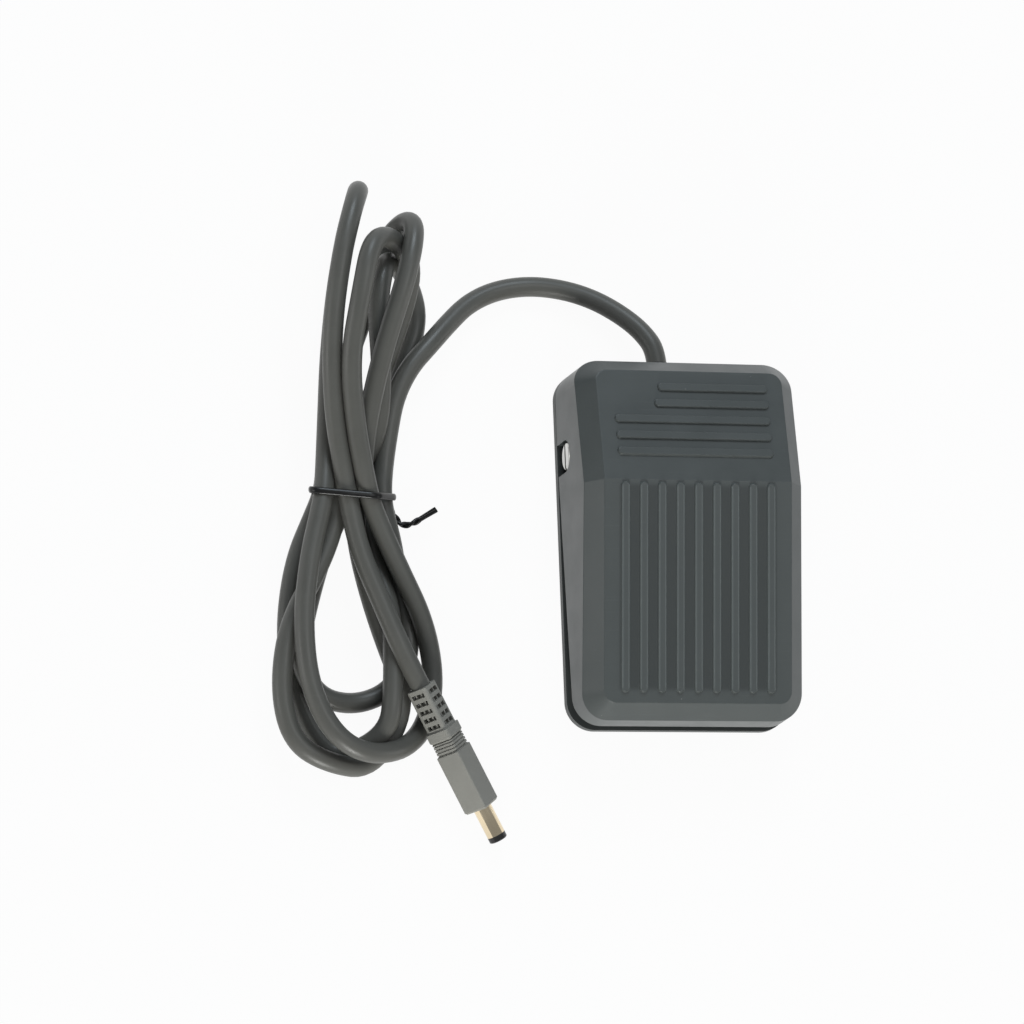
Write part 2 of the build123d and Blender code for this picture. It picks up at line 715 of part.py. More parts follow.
def make_switch_case():
    half = case_thickness / 2
    case = case_box(-half + case_lid_thickness, half)
    for side in (-1, 1):
        x = side * (lever_width / 2 + lug_gap + lug_thickness / 2)
        lug = Pos(x, lever_pivot_y, lever_pivot_z) * Rot(0, 90, 0) * Cylinder(lug_radius, lug_thickness)
        foot_z = (lever_pivot_z + case_top_z) / 2 - lug_root / 2
        height = lever_pivot_z - case_top_z + lug_root
        case += lug + Pos(x, lever_pivot_y, foot_z) * Box(lug_thickness, 2 * lug_radius, height)
    pin = Rot(0, 90, 0) * Cylinder(lever_pin_radius, lever_width + 2 * lug_thickness)
    case += Pos(0, lever_pivot_y, lever_pivot_z) * pin
    well = Cylinder(plunger_radius + plunger_clearance, 2 * plunger_depth)
    case -= Pos(0, lever_pivot_y - plunger_arm, case_top_z) * well
    for rise in (terminal_closed_rise, terminal_open_rise):
        case -= rear_place(rise) * blade_slot()
    return case - common_place() * blade_slot()


def blade_slot():
    gap = 2 * terminal_gap
    return Box(terminal_width + gap, 2 * terminal_root, terminal_thickness + gap)


def rear_place(rise):
    return Pos(0, case_rear_y, case_bottom_z + rise)


def common_place():
    return Pos(0, case_front_y, case_bottom_z + common_rise) * Rot(0, 0, 180)


def make_switch_lid():
    half = case_thickness / 2
    lid = case_box(-half, -half + case_lid_thickness)
    inset = Pos(-half, (case_front_y + case_rear_y) / 2, (case_bottom_z + case_top_z) / 2)
    return lid - inset * Box(0.6, case_length - 12, case_height - 9)


def terminal_blade(length):
    """Flat tab along +Y from its root in the case, with a hole near the free end."""
    root = terminal_root - terminal_gap
    total = length + root
    blade = Pos(0, total / 2 - root, 0) * Box(terminal_width, total, terminal_thickness)
    blade = chamfer(blade.edges().filter_by(Axis.Z).group_by(Axis.Y)[-1], terminal_chamfer)
    hole = Cylinder(terminal_hole_radius, 4 * terminal_thickness)
    return blade - Pos(0, length - terminal_hole_inset, 0) * hole


def make_terminal(rise):
    return rear_place(rise) * terminal_blade(terminal_length)


def make_terminal_common():
    return common_place() * terminal_blade(common_length)


def make_switch_lever():
    """Flat steel lever that is hinged at the rear end of the microswitch and rises to the front."""
    length = (lever_pivot_y - lever_tip_y) / cos(radians(lever_rise))
    strip = Pos(0, -length / 2, 0) * Box(lever_width, length, lever_thickness)
    strip = chamfer(strip.edges().filter_by(Axis.Z).group_by(Axis.Y)[0], 0.8)
    eye = Rot(0, 90, 0) * Cylinder(lever_eye_radius, lever_width - 0.6)
    bore = Rot(0, 90, 0) * Cylinder(lever_pin_radius + lever_pin_clearance, 2 * lever_width)
    lever = strip + eye - bore
    return Pos(0, lever_pivot_y, lever_pivot_z) * Rot(-lever_rise, 0, 0) * lever


def make_switch_plunger():
    top = plunger_top()
    travel = plunger_arm * sin(radians(lever_ratio * pedal_travel)) + 0.3
    bottom = case_top_z - plunger_depth + travel
    body = Pos(0, 0, (top + bottom) / 2) * Cylinder(plunger_radius, top - bottom)
    body = fillet(body.edges().sort_by(Axis.Z)[-1], 0.3)
    return Pos(0, lever_pivot_y - plunger_arm, 0) * body


def make_return_spring():
    """Helical compression spring between the base's floor and the pedal's seat, with ground ends."""
    bottom = floor_top + spring_gap
    height = spring_top_z - spring_gap - bottom
    rise = height / spring_turns
    helix = Helix(pitch=rise, height=height + rise * 0.5, radius=spring_radius)
    start = Plane(origin=helix @ 0, z_dir=helix % 0)
    coil = Pos(0, 0, -rise * 0.25) * sweep(start * Circle(spring_wire / 2), path=helix, is_frenet=True)
    clip = Pos(0, 0, height / 2) * Cylinder(2 * spring_radius, height)
    return Pos(0, spring_y, bottom) * (coil & clip)


def make_cable_grommet():
    """Rubber bush with a groove for the entry wall and a short tapered nose."""
    inner_end = entry_wall_y - grommet_flange_length - grommet_clearance
    wall_in = entry_wall_y - grommet_clearance
    wall_out = entry_wall_y + entry_wall_thickness + grommet_clearance
    flange, groove = grommet_flange_radius, grommet_groove_radius
    step = wall_out + grommet_collar
    collar = grommet_nose_radius + grommet_collar
    side = Polyline(
        (0, inner_end), (flange, inner_end), (flange, wall_in), (groove, wall_in), (groove, wall_out),
        (collar, wall_out), (collar, step), (grommet_nose_radius, step + grommet_collar),
        (grommet_tip_radius, grommet_tip_y), (0, grommet_tip_y), close=True)
    bush = revolve(make_face(side), axis=Axis.Y)
    middle = (inner_end + grommet_tip_y) / 2
    bush -= Pos(0, middle, 0) * Rot(90, 0, 0) * Cylinder(lead_radius + lead_clearance, grommet_tip_y)
    return Pos(entry_x, 0, entry_z) * bush


def make_cable_inner():
    """The lead's jacket from its stripped end inside the base into the grommet."""
    length = lead_joint_y - lead_inner_end
    return Pos(entry_x, lead_inner_end + length / 2, entry_z) * Rot(90, 0, 0) * Cylinder(lead_radius, length)


def wire_points_open():
    """Black wire: from the lead up to the blade of the opening contact."""
    tab_top = case_bottom_z + terminal_open_rise + terminal_thickness / 2
    z = tab_top + wire_radius + wire_gap
    tab_end = case_rear_y + terminal_length
    x = entry_x + wire_spread
    return [(x, lead_inner_end - wire_gap, entry_z), (x, lead_inner_end - wire_straight, entry_z),
            (x + 0.4, tab_end + 3.0, z - 5.0), (0, tab_end + 1.4, z), (0, tab_end - 3.4, z)]


def wire_points_common():
    """White wire: from the lead forward beside the case and over the common blade at its front."""
    x = entry_x - wire_spread
    beside = -(case_thickness / 2 + switch_screw_head_height + wire_side_gap + wire_radius)
    low = floor_top + wire_radius + wire_floor_gap
    y = case_front_y - common_length + terminal_hole_inset
    z = case_bottom_z + common_rise + terminal_thickness / 2 + wire_radius + wire_gap
    return [(x, lead_inner_end - wire_gap, entry_z), (x, lead_inner_end - wire_straight, entry_z),
            (beside, case_rear_y + 3.0, low), (beside, y, low), (beside, y, z), (0, y, z)]


def make_wire(points):
    return tube(points, wire_radius, radii=[1.4] * (len(points) - 2))


def make_cord_run():
    return tube(lead_route, lead_radius, name="cord_run")


def plan_block(outline, bottom, top):
    face = make_face(rounded(outline))
    return extrude(Pos(0, 0, bottom) * face, amount=top - bottom)


def top_outline():
    """Outline of the standing loops, with a flat face square to the end of the lead's run."""
    x, y, z = lead_route[-1]
    run = (Vector(*lead_route[-1]) - Vector(*lead_route[-2])).normalized()
    across = Vector(-run.Y, run.X, 0) * run_landing
    if across.Y < 0:
        across = across * -1
    landing = [((x + across.X, y + across.Y), 0), ((x - across.X, y - across.Y), 0)]
    return top_outline_left + landing + top_outline_right


def neck_place():
    middle_z = (neck_bottom_z + neck_top_z) / 2
    return Pos(neck_centre[0], neck_centre[1], middle_z) * Rot(0, 0, -neck_turn)


def make_cord_hank():
    """One solid of the hank's outer shape: standing loops, tied neck and the flatter ring of loops."""
    top_height = max(z for (y, z), r in top_profile)
    lobe = plan_block(top_outline(), 0, top_height + 1)
    side = extrude(Plane.YZ * make_face(rounded(top_profile)), amount=2 * housing_length, both=True)
    lobe = lobe & side
    ring = plan_block(ring_outline, ring_bottom_z, ring_top_z) - plan_block(ring_hole, -1, ring_top_z + 1)
    turn = neck_place()
    neck = turn * Box(neck_width, neck_length, neck_top_z - neck_bottom_z)
    hollow = tie_width + 4 * tie_gap
    slab = 4 * neck_width
    hank = lobe + ring + neck
    band = turn * Box(slab, hollow, slab)
    waist = turn * Box(neck_width, hollow, neck_top_z - neck_bottom_z)
    width, depth = plug_channel
    reach = plug_body_start() + plug_length
    channel = Pos(0, reach / 2 - depth, reach / 2 - 2) * Box(width, reach, reach)
    return hank - band + waist - plug_plane().location * channel


def tail_route():
    """From the neck's front face, square to it, to the strain relief."""
    turn = radians(neck_turn)
    half = neck_length / 2
    x = neck_centre[0] - half * sin(turn) + tail_offset * cos(turn)
    y = neck_centre[1] - half * cos(turn) - tail_offset * sin(turn)
    z = tail_bend[0][2]
    run = (y - tail_bend[0][1]) / cos(turn)
    first = (x - run * sin(turn), tail_bend[0][1], z)
    axis = Vector(*plug_axis).normalized()
    last = Vector(*plug_start) - axis * tail_last_run
    return [(x, y, z), first, tail_bend[1], tuple(last), plug_start]


def make_cord_tail():
    return tube(tail_route(), lead_radius, name="cord_tail")


def make_cord_tie():
    """Twist tie: a flat band round the neck of the hank and its twisted end."""
    height = neck_top_z - neck_bottom_z + 2 * tie_gap
    width = neck_width + 2 * tie_gap
    place = neck_place()
    outer = Box(width + 2 * tie_thickness, tie_width, height + 2 * tie_thickness)
    outer = fillet(outer.edges().filter_by(Axis.Y), tie_thickness)
    band = place * (outer - Box(width, 2 * tie_width, height))
    return band + tube(tie_tail, tie_twist_radius, radii=tie_tail_radii)


def plug_plane():
    """Local Z runs from the plug's cord end to its tip, local Y points up."""
    axis = Vector(*plug_axis).normalized()
    flat = Vector(0, 0, 1).cross(axis).normalized()
    return Plane(origin=plug_start, x_dir=flat, z_dir=axis)


def plug_place():
    return plug_plane().location * Rot(0, 0, plug_roll)


def square_bar(side, corner, start, end):
    return extrude(Pos(0, 0, start) * RectangleRounded(side, side, corner), amount=end - start)


def make_plug_relief():
    """Moulded strain relief: slotted sleeve, collar and a neck with fine grooves."""
    end = relief_length + collar_length + neck_run
    relief = square_bar(relief_side, relief_corner, 0, relief_length)
    for i in range(relief_slot_count):
        z = relief_slot_first + i * relief_slot_pitch
        for turn in range(4):
            slot = Box(2 * relief_slot_depth, relief_slot_span, relief_slot_width)
            relief -= Rot(0, 0, 90 * turn) * Pos(relief_side / 2, 0, z) * slot
    bar_depth = relief_slot_depth - relief_bar_sink + relief_bar_overlap
    bar_x = relief_side / 2 - relief_bar_sink - bar_depth / 2
    bar_length = relief_length - 2 * relief_bar_overlap
    bar = Box(bar_depth, relief_bar_width, bar_length)
    for turn in range(4):
        for y in (-relief_bar_offset, relief_bar_offset):
            relief += Rot(0, 0, 90 * turn) * Pos(bar_x, y, relief_length / 2) * bar
    collar = square_bar(collar_side, relief_corner, relief_length, relief_length + collar_length)
    relief += chamfer(collar.faces().sort_by(Axis.Z)[-1].edges(), collar_chamfer)
    relief += square_bar(neck_side, relief_corner, relief_length + collar_length, end)
    groove_pitch = neck_run / neck_groove_count
    for i in range(neck_groove_count):
        z = relief_length + collar_length + (i + 0.35) * groove_pitch
        ring = square_bar(neck_side + 2, relief_corner, z, z + neck_groove)
        core = neck_side - 2 * neck_groove_depth
        relief -= ring - square_bar(core, relief_corner, z - 1, z + 2)
    return plug_place() * relief


def plug_body_start():
    return relief_length + collar_length + neck_run


def make_plug_body():
    start = plug_body_start()
    end = start + plug_length
    body = square_bar(plug_side, plug_corner, start, end)
    body = chamfer(body.faces().sort_by(Axis.Z)[-1].edges(), 0.6)
    hole = Cylinder(barrel_radius - barrel_step + plug_clearance, barrel_root)
    body -= Pos(0, 0, end - barrel_root / 2) * hole
    return plug_place() * body


def barrel_bore():
    return barrel_radius - barrel_step - barrel_wall


def make_plug_barrel():
    """Metal sleeve with a slimmer root that sits in the plug."""
    face = plug_body_start() + plug_length
    root = Pos(0, 0, face - (barrel_root - plug_clearance) / 2)
    root *= Cylinder(barrel_radius - barrel_step, barrel_root - plug_clearance)
    start = face + plug_clearance
    length = barrel_reach - plug_clearance
    sleeve = Pos(0, 0, start + length / 2) * Cylinder(barrel_radius, length)
    step = Pos(0, 0, face + plug_clearance / 2) * Cylinder(barrel_radius - barrel_step, plug_clearance)
    bore = Pos(0, 0, face) * Cylinder(barrel_bore(), 4 * barrel_root)
    return plug_place() * (root + step + sleeve - bore)


def make_plug_insulator():
    """Black liner of the barrel with the ring that shows at its tip."""
    end = plug_body_start() + plug_length
    tip = end + barrel_reach
    bottom = end - barrel_root + plug_clearance
    liner = Pos(0, 0, (bottom + tip) / 2) * Cylinder(barrel_bore() - plug_clearance, tip - bottom)
    ring = Pos(0, 0, tip + tip_ring / 2) * Cylinder(barrel_radius, tip_ring)
    ring = chamfer(ring.edges().sort_by(Axis.Z)[-1], 0.25)
    bore = Cylinder(contact_radius + plug_clearance, contact_depth)
    return plug_place() * (liner + ring - Pos(0, 0, tip + tip_ring - contact_depth / 2) * bore)


def make_plug_contact():
    """Inner sleeve that takes the socket's pin."""
    mouth = plug_body_start() + plug_length + barrel_reach + tip_ring
    tip = mouth - contact_inset
    bottom = mouth - contact_depth + plug_clearance
    depth = tip - bottom - contact_bottom
    sleeve = Pos(0, 0, (bottom + tip) / 2) * Cylinder(contact_radius, tip - bottom)
    sleeve -= Pos(0, 0, tip - depth / 2) * Cylinder(contact_bore_radius, depth)
    return plug_place() * sleeve


def nodes():
    yield "base_tray", make_base_tray()
    yield "rubber_feet", make_rubber_feet()
    yield "switch_case", make_switch_case()
    yield "switch_lid", make_switch_lid()
    yield "terminal_common", make_terminal_common()
    yield "terminal_closed", make_terminal(terminal_closed_rise)
    yield "terminal_open", make_terminal(terminal_open_rise)
    yield "switch_screws", make_switch_screws()
    yield "return_spring", make_return_spring()
    yield "cable_clamp", make_cable_clamp()
    yield "clamp_screws", make_clamp_screws()
    yield "cable_grommet", make_cable_grommet()
    yield "cable_inner", make_cable_inner()
    yield "wire_open", make_wire(wire_points_open())
    yield "wire_common", make_wire(wire_points_common())
    yield "pedal_cover", make_pedal_cover()
    yield "hinge_screw_left", make_hinge_screw(-1)
    yield "hinge_screw_right", make_hinge_screw(1)
    yield "hinge_nuts", make_hinge_nuts()
    yield "switch_lever", make_switch_lever()
    yield "switch_plunger", make_switch_plunger()
    yield "cord_run", make_cord_run()
    yield "cord_hank", make_cord_hank()
    yield "cord_tail", make_cord_tail()
    yield "cord_tie", make_cord_tie()
    yield "plug_relief", make_plug_relief()
    yield "plug_body", make_plug_body()
    yield "plug_barrel", make_plug_barrel()
    yield "plug_insulator", make_plug_insulator()
    yield "plug_contact", make_plug_contact()


os.makedirs("parts", exist_ok=True)
for name, shape in nodes():
    export_step(shape, f"parts/{name}.step")
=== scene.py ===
from math import cos, pi, radians, sin, tan

import bpy
from bpy.props import FloatProperty, FloatVectorProperty, PointerProperty
from mathutils import Matrix, Vector


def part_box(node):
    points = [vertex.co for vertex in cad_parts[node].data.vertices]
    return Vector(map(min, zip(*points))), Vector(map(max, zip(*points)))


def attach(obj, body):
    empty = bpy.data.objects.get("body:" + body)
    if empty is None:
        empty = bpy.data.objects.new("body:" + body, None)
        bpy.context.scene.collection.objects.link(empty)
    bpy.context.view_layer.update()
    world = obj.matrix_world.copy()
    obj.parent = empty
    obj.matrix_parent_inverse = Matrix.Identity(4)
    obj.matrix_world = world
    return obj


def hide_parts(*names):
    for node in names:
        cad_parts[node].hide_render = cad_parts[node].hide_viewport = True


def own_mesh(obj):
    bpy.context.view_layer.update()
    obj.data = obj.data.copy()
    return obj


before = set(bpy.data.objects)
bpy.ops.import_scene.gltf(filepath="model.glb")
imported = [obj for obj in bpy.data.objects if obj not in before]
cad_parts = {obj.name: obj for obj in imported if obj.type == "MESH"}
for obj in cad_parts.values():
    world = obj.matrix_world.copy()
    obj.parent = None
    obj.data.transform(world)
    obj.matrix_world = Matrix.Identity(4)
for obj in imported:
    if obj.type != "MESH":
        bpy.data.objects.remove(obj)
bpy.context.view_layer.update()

bl_info = {
    "name": "Foot switch",
    "version": (1, 0, 0),
    "blender": (4, 5, 0),
    "location": "3D view > Sidebar > Foot switch",
    "description": "Dresses the packed foot switch with its lead, tie, spring, screws and finishes",
    "category": "Object",
}

# The lead's route from the grommet to the plug: out of the housing and up to the hank, four lower and
# four upper loops in turn, each from its place under the tie, and the end to the plug. The points of the
# loops were fitted by a program to places read from the photograph.
LEAD_ROUTE = [
    # from the housing to the hank
    (-0.0034, 0.0536, 0.0093), (-0.0034, 0.0600, 0.0093), (-0.0070, 0.0664, 0.0076),
    (-0.0128, 0.0720, 0.0056), (-0.0208, 0.0770, 0.0040), (-0.0302, 0.0800, 0.0032),
    (-0.0408, 0.0808, 0.0032), (-0.0510, 0.0790, 0.0032), (-0.0598, 0.0744, 0.0046),
    (-0.0668, 0.0674, 0.0072), (-0.0732, 0.0602, 0.0098), (-0.0798, 0.0530, 0.0106),
    (-0.0846, 0.0437, 0.0107), (-0.0867, 0.0335, 0.0100), (-0.0884, 0.0230, 0.0094),
    # first lower loop
    (-0.0891, 0.0154, 0.0095), (-0.0885, 0.0093, 0.0091), (-0.0856, -0.0007, 0.0072),
    (-0.0833, -0.0156, 0.0039), (-0.0798, -0.0300, 0.0031), (-0.0859, -0.0422, 0.0031),
    (-0.0978, -0.0473, 0.0037), (-0.1103, -0.0449, 0.0071), (-0.1154, -0.0327, 0.0084),
    (-0.1106, -0.0154, 0.0049), (-0.1052, 0.0006, 0.0035), (-0.1001, 0.0107, 0.0038),
    # first upper loop
    (-0.0984, 0.0157, 0.0042), (-0.0955, 0.0216, 0.0066), (-0.0905, 0.0324, 0.0134),
    (-0.0900, 0.0486, 0.0189), (-0.0920, 0.0663, 0.0236), (-0.0900, 0.0790, 0.0235),
    (-0.0862, 0.0843, 0.0165), (-0.0790, 0.0813, 0.0079), (-0.0744, 0.0689, 0.0033),
    (-0.0812, 0.0517, 0.0031), (-0.0866, 0.0337, 0.0031), (-0.0890, 0.0211, 0.0037),
    # second lower loop
    (-0.0919, 0.0153, 0.0041), (-0.0932, 0.0092, 0.0041), (-0.0908, -0.0025, 0.0047),
    (-0.0868, -0.0210, 0.0087), (-0.0880, -0.0438, 0.0124), (-0.0896, -0.0564, 0.0111),
    (-0.1023, -0.0627, 0.0031), (-0.1100, -0.0565, 0.0033), (-0.1163, -0.0406, 0.0031),
    (-0.1176, -0.0235, 0.0031), (-0.1145, -0.0043, 0.0038), (-0.1087, 0.0090, 0.0056),
    # second upper loop
    (-0.1058, 0.0155, 0.0049), (-0.1047, 0.0219, 0.0046), (-0.1029, 0.0351, 0.0038),
    (-0.0977, 0.0542, 0.0031), (-0.0900, 0.0744, 0.0050), (-0.0860, 0.0914, 0.0117),
    (-0.0817, 0.0954, 0.0211), (-0.0810, 0.0902, 0.0298), (-0.0848, 0.0750, 0.0322),
    (-0.0912, 0.0548, 0.0273), (-0.0950, 0.0347, 0.0188), (-0.0954, 0.0205, 0.0125),
    # third lower loop
    (-0.0964, 0.0141, 0.0100), (-0.0975, 0.0075, 0.0089), (-0.0951, -0.0063, 0.0064),
    (-0.0897, -0.0255, 0.0055), (-0.0826, -0.0469, 0.0083), (-0.0928, -0.0659, 0.0034),
    (-0.1074, -0.0651, 0.0093), (-0.1181, -0.0589, 0.0105), (-0.1215, -0.0441, 0.0114),
    (-0.1186, -0.0248, 0.0111), (-0.1082, -0.0068, 0.0101), (-0.1031, 0.0068, 0.0096),
    # third upper loop
    (-0.1027, 0.0144, 0.0098), (-0.1014, 0.0214, 0.0097), (-0.0956, 0.0338, 0.0098),
    (-0.0882, 0.0513, 0.0098), (-0.0812, 0.0695, 0.0118), (-0.0794, 0.0831, 0.0191),
    (-0.0891, 0.0886, 0.0285), (-0.0960, 0.0841, 0.0352), (-0.0991, 0.0695, 0.0352),
    (-0.1020, 0.0509, 0.0295), (-0.0994, 0.0323, 0.0230), (-0.0962, 0.0192, 0.0185),
    # fourth lower loop
    (-0.0943, 0.0130, 0.0156), (-0.0919, 0.0067, 0.0140), (-0.0859, -0.0064, 0.0122),
    (-0.0765, -0.0240, 0.0078), (-0.0733, -0.0428, 0.0031), (-0.0795, -0.0583, 0.0047),
    (-0.0947, -0.0639, 0.0136), (-0.1069, -0.0587, 0.0169), (-0.1140, -0.0441, 0.0170),
    (-0.1154, -0.0251, 0.0168), (-0.1128, -0.0063, 0.0162), (-0.1094, 0.0066, 0.0153),
    # fourth upper loop
    (-0.1077, 0.0130, 0.0147), (-0.1067, 0.0204, 0.0133), (-0.1050, 0.0362, 0.0103),
    (-0.1026, 0.0592, 0.0060), (-0.0990, 0.0829, 0.0044), (-0.0955, 0.1000, 0.0088),
    (-0.0952, 0.1050, 0.0190), (-0.0985, 0.0996, 0.0283), (-0.1037, 0.0825, 0.0310),
    (-0.1068, 0.0591, 0.0276), (-0.1055, 0.0367, 0.0216), (-0.1022, 0.0211, 0.0170),
    # through the tie and down to the plug
    (-0.1001, 0.0102, 0.0147), (-0.0973, -0.0034, 0.0142), (-0.0912, -0.0190, 0.0148),
    (-0.0855, -0.0338, 0.0158), (-0.0802, -0.0432, 0.0136),
]
# The hank lies to the left of this X.
HANK_RIGHT = -0.08

# Camera and lamps: the point at the middle of the picture, the one that the lamps face, and of each lamp
# its name, place, size, share of their power and colour.
CAMERA_TARGET = (-0.047352, 0.012179, 0.0)
SENSOR_WIDTH = 36.0
LAMP_TARGET = (-0.045, 0.01, 0.02)
LIGHTS = [
    ("left", (-1.2, 0.0, 0.36), 0.5, 0.21, (1.0, 0.99, 0.97)),
    ("front", (-0.15, -1.2, 0.36), 0.5, 1.30, (1.0, 1.0, 0.97)),
    ("right", (1.2, -0.2, 0.36), 0.5, 0.12, (1.0, 1.0, 1.0)),
    ("rear", (0.0, 1.0, 0.90), 0.6, 0.80, (0.82, 0.92, 1.0)),
    ("top", (0.45, 0.25, 1.70), 0.7, 0.38, (1.0, 1.0, 1.0)),
]
# How much of the floor is plain white to the camera, and the heights on the sky's unit sphere between which
# the sky turns white to it.
FLOOR_WHITE = 0.95
HORIZON = (0.34, 0.22)

# The tie: its plane, as y at x and z of 0 and what it gains with x and with z, and the points of its
# twisted end.
TIE_PLANE = (0.01014, -0.0712, -0.2374)
TIE_TAIL = [
    (-0.0868, 0.0138, 0.0016), (-0.0850, 0.0122, 0.0020), (-0.0840, 0.0101, 0.0024),
    (-0.0822, 0.0073, 0.0026), (-0.0802, 0.0070, 0.0030), (-0.0779, 0.0078, 0.0035),
    (-0.0749, 0.0096, 0.0042), (-0.0718, 0.0114, 0.0052),
]
TIE_STEPS = 144
TIE_GAP = 0.00005
TIE_FLOOR_GAP = 0.0001
# The band stands off the strands most on this side of the hank.
TIE_SLACK = 0.0009
TIE_SLACK_SIDE = radians(150)
# The two ends are twisted along this share of their length, and part after it.
END_STEPS = 60
END_TWISTED = 0.72

# Finishes: colour, roughness, metal, specular level, grain per metre, grain height in metres, mottle, specks
# and scratches.
FINISHES = {
    "cover": ((0.073, 0.082, 0.081), 0.34, 0.0, 0.24, 2600, 0.000012, 0.03, 0.35, 0.12),
    "tray": ((0.056, 0.062, 0.061), 0.42, 0.0, 0.20, 2600, 0.000012, 0.03, 0.30, 0.12),
    "rubber": ((0.020, 0.020, 0.021), 0.75, 0.0, 0.50, 1400, 0.00002, 0.20, 0.2, 0.0),
    "jacket": ((0.094, 0.094, 0.085), 0.38, 0.0, 0.36, 1800, 0.000006, 0.04, 0.15, 0.10),
    "plug": ((0.228, 0.226, 0.205), 0.60, 0.0, 0.40, 2800, 0.000050, 0.05, 0.0, 0.0),
    "switch_body": ((0.022, 0.022, 0.024), 0.45, 0.0, 0.50, 3000, 0.000012, 0.15, 0.0, 0.2),
    "plunger": ((0.50, 0.035, 0.025), 0.30, 0.0, 0.50, 2000, 0.000004, 0.10, 0.0, 0.0),
    "plated_steel": ((0.60, 0.60, 0.58), 0.32, 1.0, 0.50, 2200, 0.000006, 0.18, 0.0, 0.6),
    "spring_wire": ((0.46, 0.46, 0.45), 0.28, 1.0, 0.50, 2500, 0.000004, 0.15, 0.0, 0.3),
    "contact_brass": ((0.78, 0.62, 0.34), 0.30, 1.0, 0.50, 2400, 0.000004, 0.15, 0.0, 0.3),
    "barrel": ((0.84, 0.71, 0.50), 0.16, 1.0, 0.50, 2400, 0.000003, 0.06, 0.0, 0.06),
    "insulator": ((0.014, 0.014, 0.014), 0.28, 0.0, 0.50, 2400, 0.000003, 0.10, 0.0, 0.0),
    "white_wire": ((0.72, 0.72, 0.69), 0.38, 0.0, 0.50, 1500, 0.000006, 0.06, 0.0, 0.0),
    "black_wire": ((0.018, 0.018, 0.018), 0.35, 0.0, 0.50, 1500, 0.000006, 0.15, 0.0, 0.0),
    "tie": ((0.007, 0.007, 0.007), 0.30, 0.0, 0.35, 1500, 0.000005, 0.10, 0.0, 0.0),
}
# From one of the nine ribs of the front facet to the next.
RIB_PITCH = 0.005549

NODE_FINISHES = {
    "pedal_cover": "cover", "base_tray": "tray", "rubber_feet": "rubber", "cable_grommet": "rubber",
    "switch_case": "switch_body", "switch_lid": "switch_body", "cable_clamp": "switch_body",
    "switch_plunger": "plunger", "switch_lever": "plated_steel", "switch_screws": "plated_steel",
    "clamp_screws": "plated_steel", "hinge_screw_left": "plated_steel", "hinge_screw_right": "plated_steel",
    "hinge_nuts": "plated_steel", "terminal_common": "contact_brass", "terminal_closed": "contact_brass",
    "terminal_open": "contact_brass", "plug_contact": "contact_brass", "cable_inner": "jacket",
    "wire_common": "white_wire", "wire_open": "black_wire", "plug_relief": "plug", "plug_body": "plug",
    "plug_barrel": "barrel", "plug_insulator": "insulator",
}


# Shader node groups

def group_of(kind, name, inputs, outputs):
    """A new node tree with named sockets, and its input and output nodes."""
    tree = bpy.data.node_groups.new(name, kind)
    for label, socket, value in inputs:
        made = tree.interface.new_socket(label, in_out="INPUT", socket_type=socket)
        if value is not None:
            made.default_value = value
    for label, socket in outputs:
        tree.interface.new_socket(label, in_out="OUTPUT", socket_type=socket)
    return tree, tree.nodes.new("NodeGroupInput"), tree.nodes.new("NodeGroupOutput")


def add(tree, kind, sockets=None, **settings):
    """A new node with its settings and the values or links of its sockets."""
    made = tree.nodes.new(kind)
    for key, value in settings.items():
        setattr(made, key, value)
    for key, value in (sockets or {}).items():
        if isinstance(value, bpy.types.NodeSocket):
            tree.links.new(value, made.inputs[key])
        else:
            made.inputs[key].default_value = value
    return made


def calc(tree, operation, a, b=0.0, c=0.0, clamp=False):
    """The result of one Math node."""
    return add(tree, "ShaderNodeMath", {0: a, 1: b, 2: c}, operation=operation, use_clamp=clamp).outputs[0]


def mixed(tree, mask, under, over):
    """One colour over another where a mask says."""
    return add(tree, "ShaderNodeMix", {0: mask, 6: under, 7: over}, data_type="RGBA").outputs[2]


def toned(colour, factor, lift=0.0):
    """A colour made darker or lighter, with its alpha."""
    return [channel * factor + lift for channel in colour] + [1.0]


def grain_group():
    """Moulded grain: a fine height, and a slow mottle from 0 to 1."""
    tree, start, end = group_of(
        "ShaderNodeTree", "Moulded grain",
        [("Vector", "NodeSocketVector", None), ("Grain", "NodeSocketFloat", 2000.0),
         ("Mottle", "NodeSocketFloat", 90.0)],
        [("Height", "NodeSocketFloat"), ("Mottle", "NodeSocketFloat")])
    fine = add(tree, "ShaderNodeTexNoise", {"Vector": start.outputs[0], "Scale": start.outputs[1],
                                           "Detail": 3.0, "Roughness": 0.6})
    slow = add(tree, "ShaderNodeTexNoise", {"Vector": start.outputs[0], "Scale": start.outputs[2],
                                           "Detail": 5.0, "Roughness": 0.55})
    tree.links.new(fine.outputs["Fac"], end.inputs[0])
    spread = add(tree, "ShaderNodeMapRange", {"Value": slow.outputs["Fac"], "From Min": 0.3, "From Max": 0.7})
    tree.links.new(spread.outputs[0], end.inputs[1])
    return tree


